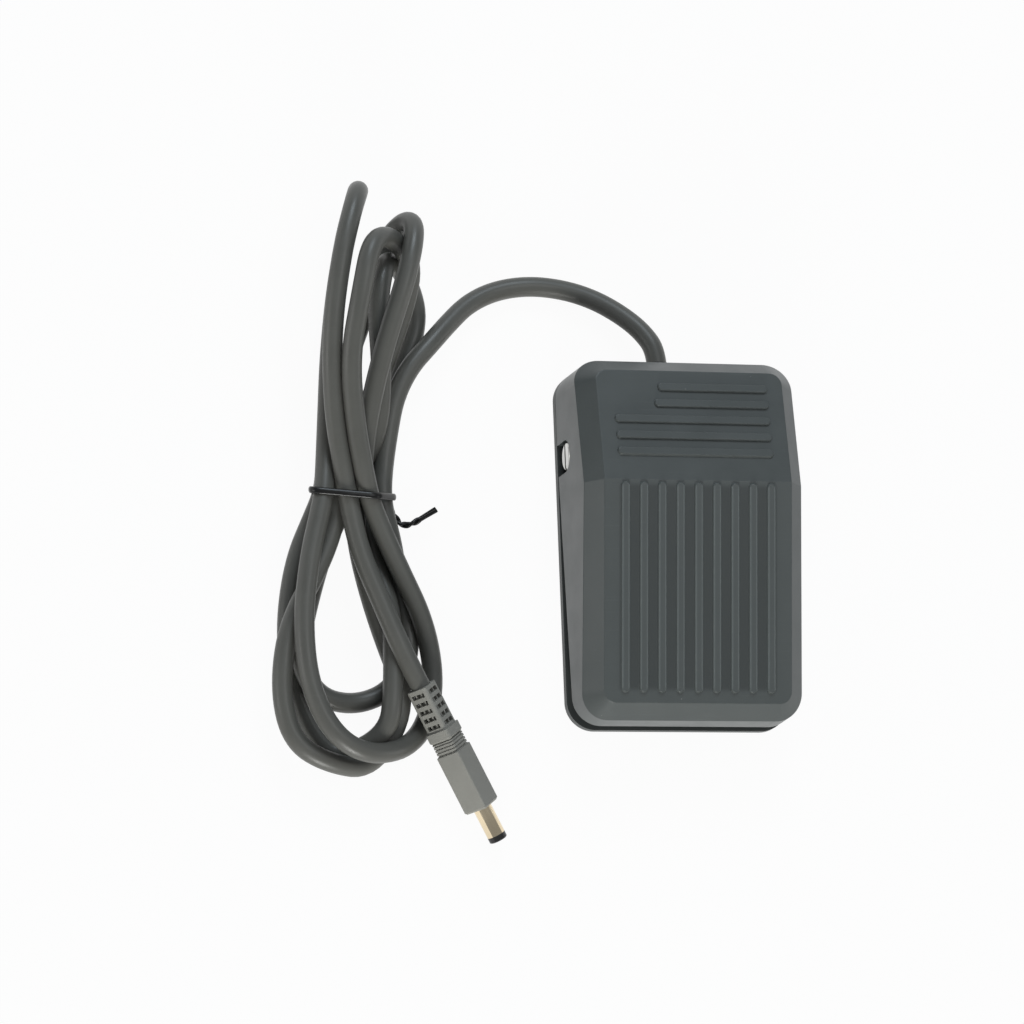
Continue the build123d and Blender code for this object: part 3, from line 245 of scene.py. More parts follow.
def speck_group():
    """Small light specks of dust and tiny nicks, as a mask."""
    tree, start, end = group_of(
        "ShaderNodeTree", "Specks",
        [("Vector", "NodeSocketVector", None), ("Amount", "NodeSocketFloat", 0.5)],
        [("Mask", "NodeSocketFloat")])
    warp = add(tree, "ShaderNodeTexNoise", {"Vector": start.outputs[0], "Scale": 900.0})
    bent = add(tree, "ShaderNodeVectorMath", {0: warp.outputs["Color"]}, operation="SCALE")
    bent.inputs["Scale"].default_value = 0.0012
    moved = add(tree, "ShaderNodeVectorMath", {0: start.outputs[0], 1: bent.outputs[0]}, operation="ADD")
    cells = add(tree, "ShaderNodeTexVoronoi", {"Vector": moved.outputs[0], "Scale": 230.0})
    split = add(tree, "ShaderNodeSeparateColor", {"Color": cells.outputs["Color"]})
    size = calc(tree, "MULTIPLY", split.outputs[0], 0.045)
    near = calc(tree, "LESS_THAN", cells.outputs["Distance"], size)
    chosen = calc(tree, "LESS_THAN", split.outputs[1], calc(tree, "MULTIPLY", start.outputs[1], 0.35))
    tree.links.new(calc(tree, "MULTIPLY", near, chosen), end.inputs[0])
    return tree


def scratch_group():
    """Short fine scratches that run several ways, as a mask."""
    tree, start, end = group_of(
        "ShaderNodeTree", "Fine scratches",
        [("Vector", "NodeSocketVector", None), ("Amount", "NodeSocketFloat", 0.5)],
        [("Mask", "NodeSocketFloat")])
    masks = []
    for turn, cut in ((0.35, 0.72), (1.5, 0.73), (2.5, 0.74)):
        turned = add(tree, "ShaderNodeMapping", {"Vector": start.outputs[0], "Rotation": (0.2, 0.1, turn),
                                                 "Scale": (40.0, 2400.0, 700.0)})
        streak = add(tree, "ShaderNodeTexNoise", {"Vector": turned.outputs[0], "Scale": 1.0, "Detail": 1.0})
        masks.append(calc(tree, "GREATER_THAN", streak.outputs["Fac"], cut))
    both = calc(tree, "MAXIMUM", calc(tree, "MAXIMUM", masks[0], masks[1]), masks[2])
    tree.links.new(calc(tree, "MULTIPLY", both, start.outputs[1]), end.inputs[0])
    return tree


def rib_group():
    """Ribs that run along Y: painted shade in the grooves between them and a painted highlight along their
    top edges, as masks.
    """
    tree, start, end = group_of(
        "ShaderNodeTree", "Ribs",
        [("Vector", "NodeSocketVector", None), ("Pitch", "NodeSocketFloat", 0.0055),
         ("Foot", "NodeSocketFloat", 0.0014), ("Top", "NodeSocketFloat", 0.0010),
         ("Reach", "NodeSocketFloat", 0.0222), ("Front", "NodeSocketFloat", -0.0466),
         ("Rear", "NodeSocketFloat", 0.0145)],
        [("Groove", "NodeSocketFloat"), ("Edge", "NodeSocketFloat")])
    split = add(tree, "ShaderNodeSeparateXYZ", {0: start.outputs["Vector"]})
    turns = calc(tree, "ADD", calc(tree, "DIVIDE", split.outputs[0], start.outputs["Pitch"]), 0.5)
    apart = calc(tree, "ABSOLUTE", calc(tree, "SUBTRACT", calc(tree, "FRACT", turns), 0.5))
    apart = calc(tree, "MULTIPLY", apart, start.outputs["Pitch"])

    def ramp(value, low, high):
        sockets = {"Value": value, "From Min": low, "From Max": high}
        return add(tree, "ShaderNodeMapRange", sockets, interpolation_type="SMOOTHSTEP").outputs[0]

    # Distances over which the masks fade, from each rib and at the sides, ends and foot of the ribbed field.
    groove_fade = (0.0002, 0.0003)
    highlight_fade = (0.00042, 0.00012)
    side_fade = (0.0022, 0.0012)
    end_fade = 0.002
    foot_fade = (0.015, 0.017)
    foot, top = start.outputs["Foot"], start.outputs["Top"]
    groove = ramp(apart, calc(tree, "SUBTRACT", foot, groove_fade[0]),
                  calc(tree, "ADD", foot, groove_fade[1]))
    edge_highlight = ramp(calc(tree, "ABSOLUTE", calc(tree, "SUBTRACT", apart, top)), *highlight_fade)
    reach = start.outputs["Reach"]
    across = ramp(calc(tree, "ABSOLUTE", split.outputs[0]), calc(tree, "ADD", reach, side_fade[0]),
                  calc(tree, "ADD", reach, side_fade[1]))
    front, rear = start.outputs["Front"], start.outputs["Rear"]
    along = calc(tree, "MULTIPLY", ramp(split.outputs[1], front, calc(tree, "ADD", front, end_fade)),
                 ramp(split.outputs[1], rear, calc(tree, "SUBTRACT", rear, end_fade)))
    above = ramp(split.outputs[2], *foot_fade)
    field = calc(tree, "MULTIPLY", calc(tree, "MULTIPLY", across, along), above)
    tree.links.new(calc(tree, "MULTIPLY", groove, field), end.inputs["Groove"])
    tree.links.new(calc(tree, "MULTIPLY", edge_highlight, field), end.inputs["Edge"])
    return tree


GROUPS = {}
MATERIALS = {}


def placed_group(tree, name, place, **values):
    """A shader group in a material, made when it is first needed, with its own values."""
    makers = {"grain": grain_group, "specks": speck_group, "scratches": scratch_group, "ribs": rib_group}
    if name not in GROUPS:
        GROUPS[name] = makers[name]()
    return add(tree, "ShaderNodeGroup", {"Vector": place, **values}, node_tree=GROUPS[name])


def finish(name, colour=None):
    """Procedural material of one finish, made once."""
    if name in MATERIALS:
        return MATERIALS[name]
    own, rough, metal, shine, grain, height, mottle, specks, scratches = FINISHES[name]
    colour = tuple(colour) if colour is not None else own
    material = bpy.data.materials.new(name.replace("_", " "))
    material.use_nodes = True
    tree = material.node_tree
    shader = tree.nodes["Principled BSDF"]
    place = add(tree, "ShaderNodeTexCoord").outputs["Object"]
    grains = placed_group(tree, "grain", place, Grain=grain)
    light = [min(1.0, channel) for channel in toned(colour, 1 + mottle)]
    shade = mixed(tree, grains.outputs["Mottle"], toned(colour, 1 - mottle), light)
    roughness = calc(tree, "MULTIPLY_ADD", grains.outputs["Mottle"], 0.10, rough - 0.05)
    if specks:
        dust = placed_group(tree, "specks", place, Amount=specks)
        shade = mixed(tree, dust.outputs["Mask"], shade, toned(colour, 0.5, 0.22))
    if scratches:
        marks = placed_group(tree, "scratches", place, Amount=scratches)
        shade = mixed(tree, marks.outputs["Mask"], shade, toned(colour, 1.35, 0.012))
        roughness = calc(tree, "MULTIPLY_ADD", marks.outputs["Mask"], 0.08, roughness)
    if name == "cover":
        ribs = placed_group(tree, "ribs", place, Pitch=RIB_PITCH, Reach=4 * RIB_PITCH)
        # Painted shade darkens the grooves between the ribs. A painted highlight lightens the ribs' edges,
        # which are also made a little smoother.
        shade = mixed(tree, ribs.outputs["Groove"], shade, toned(colour, 0.70))
        shade = mixed(tree, ribs.outputs["Edge"], shade, toned(colour, 1.50))
        roughness = calc(tree, "MULTIPLY_ADD", ribs.outputs["Edge"], -0.08, roughness)
    bump = add(tree, "ShaderNodeBump", {"Strength": 1.0, "Distance": height,
                                        "Height": grains.outputs["Height"]})
    tree.links.new(shade, shader.inputs["Base Color"])
    tree.links.new(roughness, shader.inputs["Roughness"])
    tree.links.new(bump.outputs[0], shader.inputs["Normal"])
    shader.inputs["Metallic"].default_value = metal
    shader.inputs["Specular IOR Level"].default_value = shine
    MATERIALS[name] = material
    return material


def dress(node, name):
    """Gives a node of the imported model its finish."""
    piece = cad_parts[node]
    for place in piece.material_slots:
        place.material = finish(name)
    if not piece.material_slots:
        piece.data.materials.append(finish(name))


# Geometry node trees

def mesh_tree(name, inputs):
    """A tree with a geometry input and output, ending in Realize Instances and Set Material."""
    sockets = [("Geometry", "NodeSocketGeometry", None)] + inputs + [("Material", "NodeSocketMaterial", None)]
    tree, start, end = group_of("GeometryNodeTree", name, sockets, [("Geometry", "NodeSocketGeometry")])

    def close(last):
        real = add(tree, "GeometryNodeRealizeInstances", {"Geometry": last})
        coat = add(tree, "GeometryNodeSetMaterial", {"Geometry": real.outputs[0],
                                                     "Material": start.outputs["Material"]})
        tree.links.new(coat.outputs[0], end.inputs[0])

    return tree, start, close


def swept_tree():
    """Strip or wire that follows the edges of a mesh."""
    tree, start, close = mesh_tree("Strip along a path", [
        ("Width", "NodeSocketFloat", 0.002), ("Thickness", "NodeSocketFloat", 0.001),
        ("Step", "NodeSocketFloat", 0.0004), ("Across", "NodeSocketVector", (0.0, 1.0, 0.0))])
    line = add(tree, "GeometryNodeMeshToCurve", {0: start.outputs["Geometry"]})
    kind = add(tree, "GeometryNodeCurveSplineType", {0: line.outputs[0]}, spline_type="CATMULL_ROM")
    even = add(tree, "GeometryNodeResampleCurve", {"Curve": kind.outputs[0], "Length": start.outputs["Step"]},
               mode="LENGTH")
    normal = add(tree, "GeometryNodeSetCurveNormal", {0: even.outputs[0]}, mode="FREE")
    tree.links.new(start.outputs["Across"], normal.inputs["Normal"])
    ring = add(tree, "GeometryNodeCurvePrimitiveCircle", {"Resolution": 14, "Radius": 0.5})
    sides = {0: start.outputs["Width"], 1: start.outputs["Thickness"], 2: 1.0}
    size = add(tree, "ShaderNodeCombineXYZ", sides)
    shape = add(tree, "GeometryNodeTransform", {"Geometry": ring.outputs[0], "Scale": size.outputs[0]})
    body = add(tree, "GeometryNodeCurveToMesh", {
        "Curve": normal.outputs[0], "Profile Curve": shape.outputs[0], "Fill Caps": True})
    smooth = add(tree, "GeometryNodeSetShadeSmooth", {"Geometry": body.outputs[0]})
    close(smooth.outputs[0])
    return tree


def spring_tree():
    """Compression spring with one closed turn at each end."""
    tree, start, close = mesh_tree("Compression spring", [
        ("Radius", "NodeSocketFloat", 0.006), ("Wire", "NodeSocketFloat", 0.0014),
        ("Turns", "NodeSocketFloat", 6.5), ("Height", "NodeSocketFloat", 0.0212),
        ("Foot", "NodeSocketVector", (0.0, 0.0, 0.0))])
    radius, wire, turns, height = (start.outputs[k] for k in ("Radius", "Wire", "Turns", "Height"))
    coil = add(tree, "GeometryNodeCurveSpiral", {"Resolution": 40, "Rotations": turns, "Start Radius": radius,
                                                 "End Radius": radius, "Height": 0.001})
    factor = add(tree, "GeometryNodeSplineParameter").outputs["Factor"]
    turn = calc(tree, "DIVIDE", 1.0, turns)
    rest = calc(tree, "SUBTRACT", 1.0, turn)
    middle = calc(tree, "SUBTRACT", height, calc(tree, "MULTIPLY", wire, 3.0))
    rises = []
    for low, high, rise in ((0.0, turn, wire), (turn, rest, middle), (rest, 1.0, wire)):
        sockets = {"Value": factor, "From Min": low, "From Max": high, "To Min": 0.0, "To Max": rise}
        rises.append(add(tree, "ShaderNodeMapRange", sockets).outputs[0])
    z = calc(tree, "MULTIPLY_ADD", wire, 0.5, rises[2])
    z = calc(tree, "ADD", calc(tree, "ADD", rises[0], rises[1]), z)
    where = add(tree, "GeometryNodeInputPosition").outputs[0]
    split = add(tree, "ShaderNodeSeparateXYZ", {0: where})
    joined = add(tree, "ShaderNodeCombineXYZ", {0: split.outputs[0], 1: split.outputs[1], 2: z})
    moved = add(tree, "GeometryNodeSetPosition", {"Geometry": coil.outputs[0], "Position": joined.outputs[0]})
    ring = add(tree, "GeometryNodeCurvePrimitiveCircle", {"Resolution": 14})
    tree.links.new(calc(tree, "MULTIPLY", wire, 0.5), ring.inputs["Radius"])
    body = add(tree, "GeometryNodeCurveToMesh", {"Curve": moved.outputs[0], "Profile Curve": ring.outputs[0],
                                                 "Fill Caps": True})
    placed = add(tree, "GeometryNodeTransform", {"Geometry": body.outputs[0],
                                                 "Translation": start.outputs["Foot"]})
    smooth = add(tree, "GeometryNodeSetShadeSmooth", {"Geometry": placed.outputs[0]})
    close(smooth.outputs[0])
    return tree


def thread_tree():
    """Screw thread on each point of a mesh, turned as the point's attribute says."""
    tree, start, close = mesh_tree("Screw threads", [
        ("Radius", "NodeSocketFloat", 0.002), ("Length", "NodeSocketFloat", 0.005),
        ("Pitch", "NodeSocketFloat", 0.0007)])
    radius, length, pitch = (start.outputs[k] for k in ("Radius", "Length", "Pitch"))
    coil = add(tree, "GeometryNodeCurveSpiral", {
        "Resolution": 24, "Start Radius": radius, "End Radius": radius, "Height": length,
        "Rotations": calc(tree, "DIVIDE", length, pitch)})
    ring = add(tree, "GeometryNodeCurvePrimitiveCircle", {"Resolution": 4})
    tree.links.new(calc(tree, "MULTIPLY", pitch, 0.42), ring.inputs["Radius"])
    body = add(tree, "GeometryNodeCurveToMesh", {"Curve": coil.outputs[0], "Profile Curve": ring.outputs[0],
                                                 "Fill Caps": True})
    turn = add(tree, "GeometryNodeInputNamedAttribute", {"Name": "turn"}, data_type="FLOAT_VECTOR")
    spin = add(tree, "FunctionNodeEulerToRotation", {0: turn.outputs[0]})
    copies = add(tree, "GeometryNodeInstanceOnPoints", {
        "Points": start.outputs["Geometry"], "Instance": body.outputs[0], "Rotation": spin.outputs[0]})
    close(copies.outputs[0])
    return tree


def modelled(name, tree, values, material, points=(), edges=(), turns=()):
    """Runs a tree on a small mesh and returns the result as a plain mesh object at the origin."""
    mesh = bpy.data.meshes.new(name)
    mesh.from_pydata([tuple(p) for p in points], edges, [])
    if turns:
        attribute = mesh.attributes.new("turn", "FLOAT_VECTOR", "POINT")
        attribute.data.foreach_set("vector", [value for turn in turns for value in turn])
    source = bpy.data.objects.new(name, mesh)
    bpy.context.scene.collection.objects.link(source)
    modifier = source.modifiers.new("build", "NODES")
    modifier.node_group = tree
    named = {item.name: item.identifier for item in tree.interface.items_tree if item.in_out == "INPUT"}
    for label, value in dict(values, Material=material).items():
        modifier[named[label]] = value
    graph = bpy.context.evaluated_depsgraph_get()
    made = bpy.data.meshes.new_from_object(source.evaluated_get(graph), depsgraph=graph)
    source.modifiers.remove(modifier)
    bpy.data.objects.remove(source)
    bpy.data.meshes.remove(mesh)
    if not made.polygons:
        raise RuntimeError(f"{name}: the tree made no faces")
    for spare in [a.name for a in made.attributes if a.name == "turn"]:
        made.attributes.remove(made.attributes[spare])
    made.name = name
    piece = bpy.data.objects.new(name, made)
    bpy.context.scene.collection.objects.link(piece)
    return piece


# Lead

def lead_curve(name, bevel):
    """The lead's spline as a round cord, or as a bare line with a bevel of 0."""
    curve = bpy.data.curves.new(name, "CURVE")
    curve.dimensions = "3D"
    spline = curve.splines.new("NURBS")
    spline.points.add(len(LEAD_ROUTE) - 1)
    for place, point in zip(spline.points, LEAD_ROUTE):
        place.co = (*point, 1.0)
    spline.order_u = 3
    spline.use_endpoint_u = True
    spline.resolution_u = 8
    curve.bevel_depth = bevel
    curve.bevel_resolution = 7
    curve.use_fill_caps = bevel > 0
    piece = bpy.data.objects.new(name, curve)
    bpy.context.scene.collection.objects.link(piece)
    return piece


def lead_line():
    """Points along the middle of the lead, read from its own spline."""
    plain = lead_curve("lead_line", 0.0)
    graph = bpy.context.evaluated_depsgraph_get()
    mesh = bpy.data.meshes.new_from_object(plain.evaluated_get(graph), depsgraph=graph)
    points = [vertex.co.copy() for vertex in mesh.vertices]
    curve = plain.data
    bpy.data.objects.remove(plain)
    bpy.data.curves.remove(curve)
    bpy.data.meshes.remove(mesh)
    return points


def tie_y(x, z):
    """Y of the tie's plane."""
    return TIE_PLANE[0] + TIE_PLANE[1] * x + TIE_PLANE[2] * z


def tied_strands():
    """Middles (x, z) of the strands where they cross the tie's plane."""
    found = []
    points = lead_line()
    for here, there in zip(points, points[1:]):
        before, after = here.y - tie_y(here.x, here.z), there.y - tie_y(there.x, there.z)
        if max(here.x, there.x) < HANK_RIGHT and before * after <= 0 and before != after:
            point = here.lerp(there, before / (before - after))
            found.append((point.x, point.z))
    return found


def evened(loop, count):
    """The points of a closed loop spaced evenly along it and eased."""
    reach = [0.0]
    for here, there in zip(loop, loop[1:] + loop[:1]):
        reach.append(reach[-1] + (there - here).length)
    points = []
    k = 0
    for i in range(count):
        want = reach[-1] * i / count
        while reach[k + 1] <= want:
            k += 1
        here, there = loop[k], loop[(k + 1) % len(loop)]
        points.append(here.lerp(there, (want - reach[k]) / (reach[k + 1] - reach[k])))
    for _ in range(3):
        points = [(points[i - 1] + points[i] * 2 + points[(i + 1) % count]) / 4 for i in range(count)]
    return points


def tie_loop(lead, tie):
    """The band's middle: pulled round the strands in the tie's plane, a little slack on one side."""
    strands = tied_strands()
    clear = lead.diameter / 2 + tie.thickness / 2 + TIE_GAP
    points = []
    for step in range(TIE_STEPS):
        angle = 2 * pi * step / TIE_STEPS
        out = Vector((cos(angle), sin(angle)))
        middle = max(strands, key=lambda strand: out.dot(Vector(strand)))
        slack = TIE_SLACK * max(0.0, cos(angle - TIE_SLACK_SIDE)) ** 8
        x, z = Vector(middle) + out * (clear + slack)
        z = max(z, tie.thickness / 2 + TIE_FLOOR_GAP)
        points.append(Vector((x, tie_y(x, z), z)))
    return evened(points, TIE_STEPS)


def tie_end(tie, side):
    """One of the two twisted ends, which starts on the given side of their middle."""
    centre = [Vector(point) for point in TIE_TAIL]
    lengths = [0.0]
    for here, there in zip(centre, centre[1:]):
        lengths.append(lengths[-1] + (there - here).length)
    points = []
    for i in range(END_STEPS + 1):
        share = i / END_STEPS
        reach = lengths[-1] * share
        k = max(j for j in range(len(centre) - 1) if lengths[j] <= reach + 1e-9)
        middle = centre[k].lerp(centre[k + 1], (reach - lengths[k]) / (lengths[k + 1] - lengths[k]))
        along = (centre[k + 1] - centre[k]).normalized()
        flat = along.cross(Vector((0.0, 0.0, 1.0))).normalized()
        high = flat.cross(along)
        angle = side + 2 * pi * tie.turns * min(share, END_TWISTED)
        apart = tie.wire * (0.42 + 0.9 * max(0.0, share - END_TWISTED))
        points.append(middle + (flat * cos(angle) + high * sin(angle)) * apart)
    return points


# Stage

def camera_axes(stage):
    """The camera's own X, Y and Z axes in the frame."""
    azimuth, elevation, roll = stage.azimuth, stage.elevation, stage.roll
    back = Vector((sin(azimuth) * cos(elevation), -cos(azimuth) * cos(elevation), sin(elevation)))
    right = Vector((cos(azimuth), sin(azimuth), 0.0))
    up = back.cross(right)
    return right * cos(roll) + up * sin(roll), up * cos(roll) - right * sin(roll), back


def area_light(name, place, size, power, colour):
    """A round lamp that faces the object."""
    lamp = bpy.data.lights.new(name, "AREA")
    lamp.shape = "DISK"
    lamp.size = size
    lamp.energy = power
    lamp.color = colour
    piece = bpy.data.objects.new(name, lamp)
    piece.location = place
    piece.rotation_euler = (Vector(LAMP_TARGET) - Vector(place)).to_track_quat("-Z", "Y").to_euler()
    bpy.context.scene.collection.objects.link(piece)


def white_to_camera(tree, lit, share, kind="ShaderNodeEmission"):
    """Mixes a surface or the world with plain white where the camera and reflections look at it."""
    path = add(tree, "ShaderNodeLightPath")
    seen = calc(tree, "ADD", path.outputs["Is Camera Ray"], path.outputs["Is Glossy Ray"])
    seen = calc(tree, "ADD", seen, path.outputs["Is Transmission Ray"], clamp=True)
    amount = calc(tree, "MULTIPLY", seen, share)
    white = add(tree, kind, {"Color": (1.0, 1.0, 1.0, 1.0), "Strength": 1.0})
    return add(tree, "ShaderNodeMixShader", {0: amount, 1: lit, 2: white.outputs[0]}).outputs[0]


class FootSwitchStage(bpy.types.PropertyGroup):
    azimuth: FloatProperty(name="Azimuth", description="Turn of the camera round the object",
                           default=radians(-50.471), subtype="ANGLE")
    elevation: FloatProperty(name="Elevation", description="Height of the camera over the floor",
                             default=radians(71.12), subtype="ANGLE")
    roll: FloatProperty(name="Roll", description="Turn of the picture", default=radians(49.906),
                        subtype="ANGLE")
    distance: FloatProperty(name="Distance", description="From the camera to its target",
                            default=1.4831, unit="LENGTH")
    lens: FloatProperty(name="Lens", description="Focal length for a 36 mm sensor", default=175.78)
    floor_half: FloatProperty(name="Floor", description="Half the side of the floor", default=3.0,
                              unit="LENGTH")
    floor_colour: FloatVectorProperty(name="Floor colour", description="Colour that the floor throws back",
                                      subtype="COLOR", default=(0.70, 0.70, 0.70))
    lamp_power: FloatProperty(name="Lamps", description="Power that the lamps' shares are taken of",
                              default=9.0, unit="POWER")
    sky: FloatProperty(name="Sky", description="Strength of the light from all round", default=0.30)
    sky_colour: FloatVectorProperty(name="Sky colour", description="Colour of the light from all round",
                                    subtype="COLOR", default=(0.93, 0.96, 1.0))


class FootSwitchLead(bpy.types.PropertyGroup):
    diameter: FloatProperty(name="Diameter", description="Outer diameter of the lead", default=0.006,
                            unit="LENGTH")
    colour: FloatVectorProperty(name="Colour", description="Colour of the lead's jacket", subtype="COLOR",
                                default=FINISHES["jacket"][0])


class FootSwitchTie(bpy.types.PropertyGroup):
    width: FloatProperty(name="Width", description="Width of the band", default=0.0021, unit="LENGTH")
    thickness: FloatProperty(name="Thickness", description="Thickness of the band", default=0.0011,
                             unit="LENGTH")
    wire: FloatProperty(name="Ends", description="Thickness of each twisted end", default=0.0011,
                        unit="LENGTH")
    turns: FloatProperty(name="Twist", description="Turns of the twisted ends", default=3.0)


class FootSwitchHousing(bpy.types.PropertyGroup):
    colour: FloatVectorProperty(name="Colour", description="Colour of the pedal cover",
                                subtype="COLOR", default=FINISHES["cover"][0])
    tray_colour: FloatVectorProperty(name="Tray colour", description="Colour of the base tray",
                                     subtype="COLOR", default=FINISHES["tray"][0])
    plug_colour: FloatVectorProperty(name="Plug colour", description="Colour of the moulded plug",
                                     subtype="COLOR", default=FINISHES["plug"][0])


class FootSwitchSpring(bpy.types.PropertyGroup):
    wire: FloatProperty(name="Wire", description="Diameter of the spring wire", default=0.0014, unit="LENGTH")
    radius: FloatProperty(name="Radius", description="From the spring's middle to that of its wire",
                          default=0.006, unit="LENGTH")
    turns: FloatProperty(name="Turns", description="Turns of the spring", default=6.5)
    travel: FloatProperty(name="Travel", description="Turn of the pedal", default=radians(4.0),
                          subtype="ANGLE")


class FootSwitchScrews(bpy.types.PropertyGroup):
    pitch: FloatProperty(name="Pitch", description="Pitch of the hinge screws' thread", default=0.0007,
                         unit="LENGTH")
    radius: FloatProperty(name="Radius", description="From the screw's middle to the thread's",
                          default=0.0019, unit="LENGTH")
    length: FloatProperty(name="Length", description="Length of the thread from the screw's end",
                          default=0.0062, unit="LENGTH")


class FOOTSWITCH_OT_stage(bpy.types.Operator):
    """Camera at the picture's place, pale floor and soft lights"""
    bl_idname = "footswitch.stage"
    bl_label = "Stage"

    def execute(self, context):
        stage = context.scene.footswitch_stage
        scene = context.scene
        scene.view_settings.view_transform = "Standard"
        camera = bpy.data.objects.new("camera", bpy.data.cameras.new("camera"))
        camera.data.lens = stage.lens
        camera.data.sensor_width = SENSOR_WIDTH
        axes = camera_axes(stage)
        turn = Matrix(axes).transposed().to_4x4()
        place = Vector(CAMERA_TARGET) + axes[2] * stage.distance
        camera.matrix_world = Matrix.Translation(place) @ turn
        scene.collection.objects.link(camera)
        scene.camera = camera

        half = stage.floor_half
        mesh = bpy.data.meshes.new("floor")
        mesh.from_pydata([(-half, -half, 0), (half, -half, 0), (half, half, 0), (-half, half, 0)], [],
                         [(0, 1, 2, 3)])
        floor = bpy.data.objects.new("floor", mesh)
        scene.collection.objects.link(floor)
        material = bpy.data.materials.new("pale floor")
        material.use_nodes = True
        tree = material.node_tree
        tree.nodes.clear()
        lit = add(tree, "ShaderNodeBsdfDiffuse", {"Color": (*stage.floor_colour, 1.0)})
        end = add(tree, "ShaderNodeOutputMaterial")
        tree.links.new(white_to_camera(tree, lit.outputs[0], FLOOR_WHITE), end.inputs[0])
        mesh.materials.append(material)

        world = bpy.data.worlds.new("studio")
        world.use_nodes = True
        tree = world.node_tree
        tree.nodes.clear()
        dome = add(tree, "ShaderNodeBackground", {"Color": (*stage.sky_colour, 1.0), "Strength": stage.sky})
        height = add(tree, "ShaderNodeSeparateXYZ", {0: add(tree, "ShaderNodeTexCoord").outputs["Generated"]})
        sockets = {"Value": height.outputs[2], "From Min": HORIZON[0], "From Max": HORIZON[1]}
        share = add(tree, "ShaderNodeMapRange", sockets, interpolation_type="SMOOTHSTEP").outputs[0]
        end = add(tree, "ShaderNodeOutputWorld")
        tree.links.new(white_to_camera(tree, dome.outputs[0], share, "ShaderNodeBackground"), end.inputs[0])
        scene.world = world
        for name, place, size, share, colour in LIGHTS:
            area_light(name, place, size, stage.lamp_power * share, colour)
        return {"FINISHED"}


class FOOTSWITCH_OT_lead(bpy.types.Operator):
    """Lead from the grommet through the tied hank to the plug"""
    bl_idname = "footswitch.lead"
    bl_label = "Lead"

    def execute(self, context):
        lead = context.scene.footswitch_lead
        piece = lead_curve("lead", lead.diameter / 2)
        piece.data.materials.append(finish("jacket", lead.colour))
        dress("cable_inner", "jacket")
        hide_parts("cord_run", "cord_hank", "cord_tail")
        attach(piece, "base")
        return {"FINISHED"}


class FOOTSWITCH_OT_tie(bpy.types.Operator):
    """Black tie round the hank and its twisted ends"""
    bl_idname = "footswitch.tie"
    bl_label = "Tie"

    def execute(self, context):
        lead, tie = context.scene.footswitch_lead, context.scene.footswitch_tie
        tree = swept_tree()
        points = tie_loop(lead, tie)
        edges = [(i, (i + 1) % TIE_STEPS) for i in range(TIE_STEPS)]
        values = {"Width": tie.width, "Thickness": tie.thickness, "Step": 0.0005, "Across": (0.0, 1.0, 0.0)}
        band = modelled("tie_band", tree, values, finish("tie"), points, edges)
        points, edges = [], []
        for side in (0.0, pi):
            first = len(points)
            points += tie_end(tie, side)
            edges += [(first + i, first + i + 1) for i in range(END_STEPS)]
        values = {"Width": tie.wire, "Thickness": tie.wire, "Step": 0.0004, "Across": (0.0, 0.0, 1.0)}
        twist = modelled("tie_ends", tree, values, finish("tie"), points, edges)
        for piece in (band, twist):
            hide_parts("cord_tie")
            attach(piece, "base")
        return {"FINISHED"}


class FOOTSWITCH_OT_housing(bpy.types.Operator):
    """Finishes of the cover, tray, feet, grommet, clamp, microswitch and wires"""
    bl_idname = "footswitch.housing"
    bl_label = "Housing"

    def execute(self, context):
        housing = context.scene.footswitch_housing
        finish("cover", housing.colour)
        finish("tray", housing.tray_colour)
        finish("plug", housing.plug_colour)
        for node, name in NODE_FINISHES.items():
            dress(node, name)
        return {"FINISHED"}


class FOOTSWITCH_OT_spring(bpy.types.Operator):
    """Return spring between the tray and the pedal"""
    bl_idname = "footswitch.spring"
    bl_label = "Return spring"

    def execute(self, context):
        spring = context.scene.footswitch_spring
        low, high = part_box("return_spring")
        foot = ((low[0] + high[0]) / 2, (low[1] + high[1]) / 2, low[2])
        height = high[2] - low[2]
        values = {"Radius": spring.radius, "Wire": spring.wire, "Turns": spring.turns, "Height": height,
                  "Foot": foot}
        piece = modelled("spring", spring_tree(), values, finish("spring_wire"), [(0.0, 0.0, 0.0)])
        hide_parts("return_spring")
        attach(piece, "base")
        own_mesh(piece)
        return {"FINISHED"}


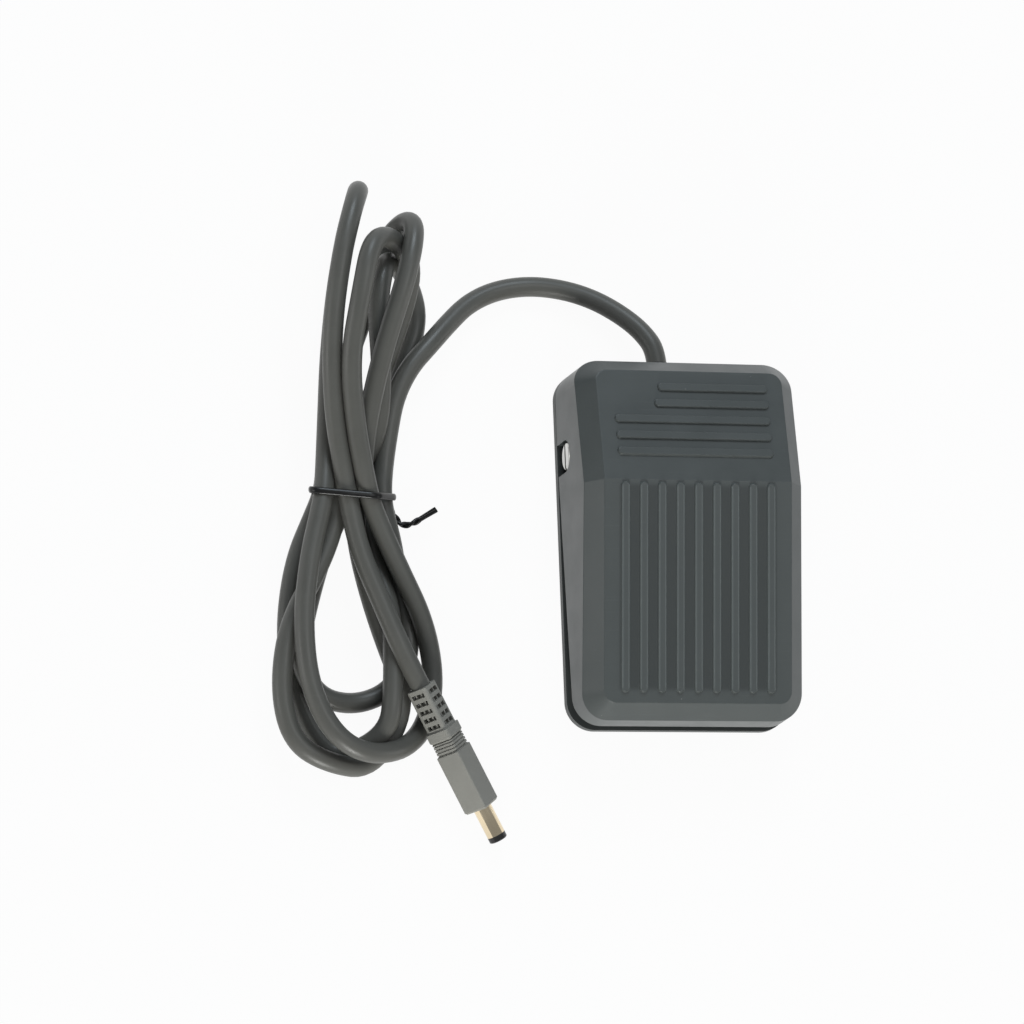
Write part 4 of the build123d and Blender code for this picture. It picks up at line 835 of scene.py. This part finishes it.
class FOOTSWITCH_OT_screws(bpy.types.Operator):
    """Threads of the hinge screws"""
    bl_idname = "footswitch.screws"
    bl_label = "Screw threads"

    def execute(self, context):
        screws = context.scene.footswitch_screws
        places, turns = [], []
        for side, node in ((-1, "hinge_screw_left"), (1, "hinge_screw_right")):
            low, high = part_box(node)
            end = low[0] if side > 0 else high[0]
            places.append((end, (low[1] + high[1]) / 2, (low[2] + high[2]) / 2))
            turns.append((0.0, side * pi / 2, 0.0))
        values = {"Radius": screws.radius, "Length": screws.length, "Pitch": screws.pitch}
        threads = modelled("hinge_screw_threads", thread_tree(), values, finish("plated_steel"), places, (),
                           turns)
        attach(threads, "pedal")
        return {"FINISHED"}


class FOOTSWITCH_PT_panel(bpy.types.Panel):
    """Steps and sizes of the foot switch"""
    bl_idname = "FOOTSWITCH_PT_panel"
    bl_label = "Foot switch"
    bl_space_type = "VIEW_3D"
    bl_region_type = "UI"
    bl_category = "Foot switch"

    def draw(self, context):
        for operator in OPERATORS:
            self.layout.operator(operator.bl_idname)
        for name, kind in SETTINGS.items():
            box = self.layout.box()
            for field in kind.__annotations__:
                box.prop(getattr(context.scene, name), field)


SETTINGS = {
    "footswitch_stage": FootSwitchStage, "footswitch_lead": FootSwitchLead, "footswitch_tie": FootSwitchTie,
    "footswitch_housing": FootSwitchHousing, "footswitch_spring": FootSwitchSpring,
    "footswitch_screws": FootSwitchScrews,
}
OPERATORS = [FOOTSWITCH_OT_stage, FOOTSWITCH_OT_lead, FOOTSWITCH_OT_tie, FOOTSWITCH_OT_housing,
             FOOTSWITCH_OT_spring, FOOTSWITCH_OT_screws]


def register():
    for name, kind in SETTINGS.items():
        bpy.utils.register_class(kind)
        setattr(bpy.types.Scene, name, PointerProperty(type=kind))
    for kind in OPERATORS + [FOOTSWITCH_PT_panel]:
        bpy.utils.register_class(kind)


def unregister():
    for kind in [FOOTSWITCH_PT_panel] + OPERATORS[::-1]:
        bpy.utils.unregister_class(kind)
    for name, kind in SETTINGS.items():
        delattr(bpy.types.Scene, name)
        bpy.utils.unregister_class(kind)


def main():
    register()
    bpy.ops.footswitch.stage()
    bpy.ops.footswitch.lead()
    bpy.ops.footswitch.tie()
    bpy.ops.footswitch.housing()
    bpy.ops.footswitch.spring()
    bpy.ops.footswitch.screws()


if __name__ == "__main__":
    main()
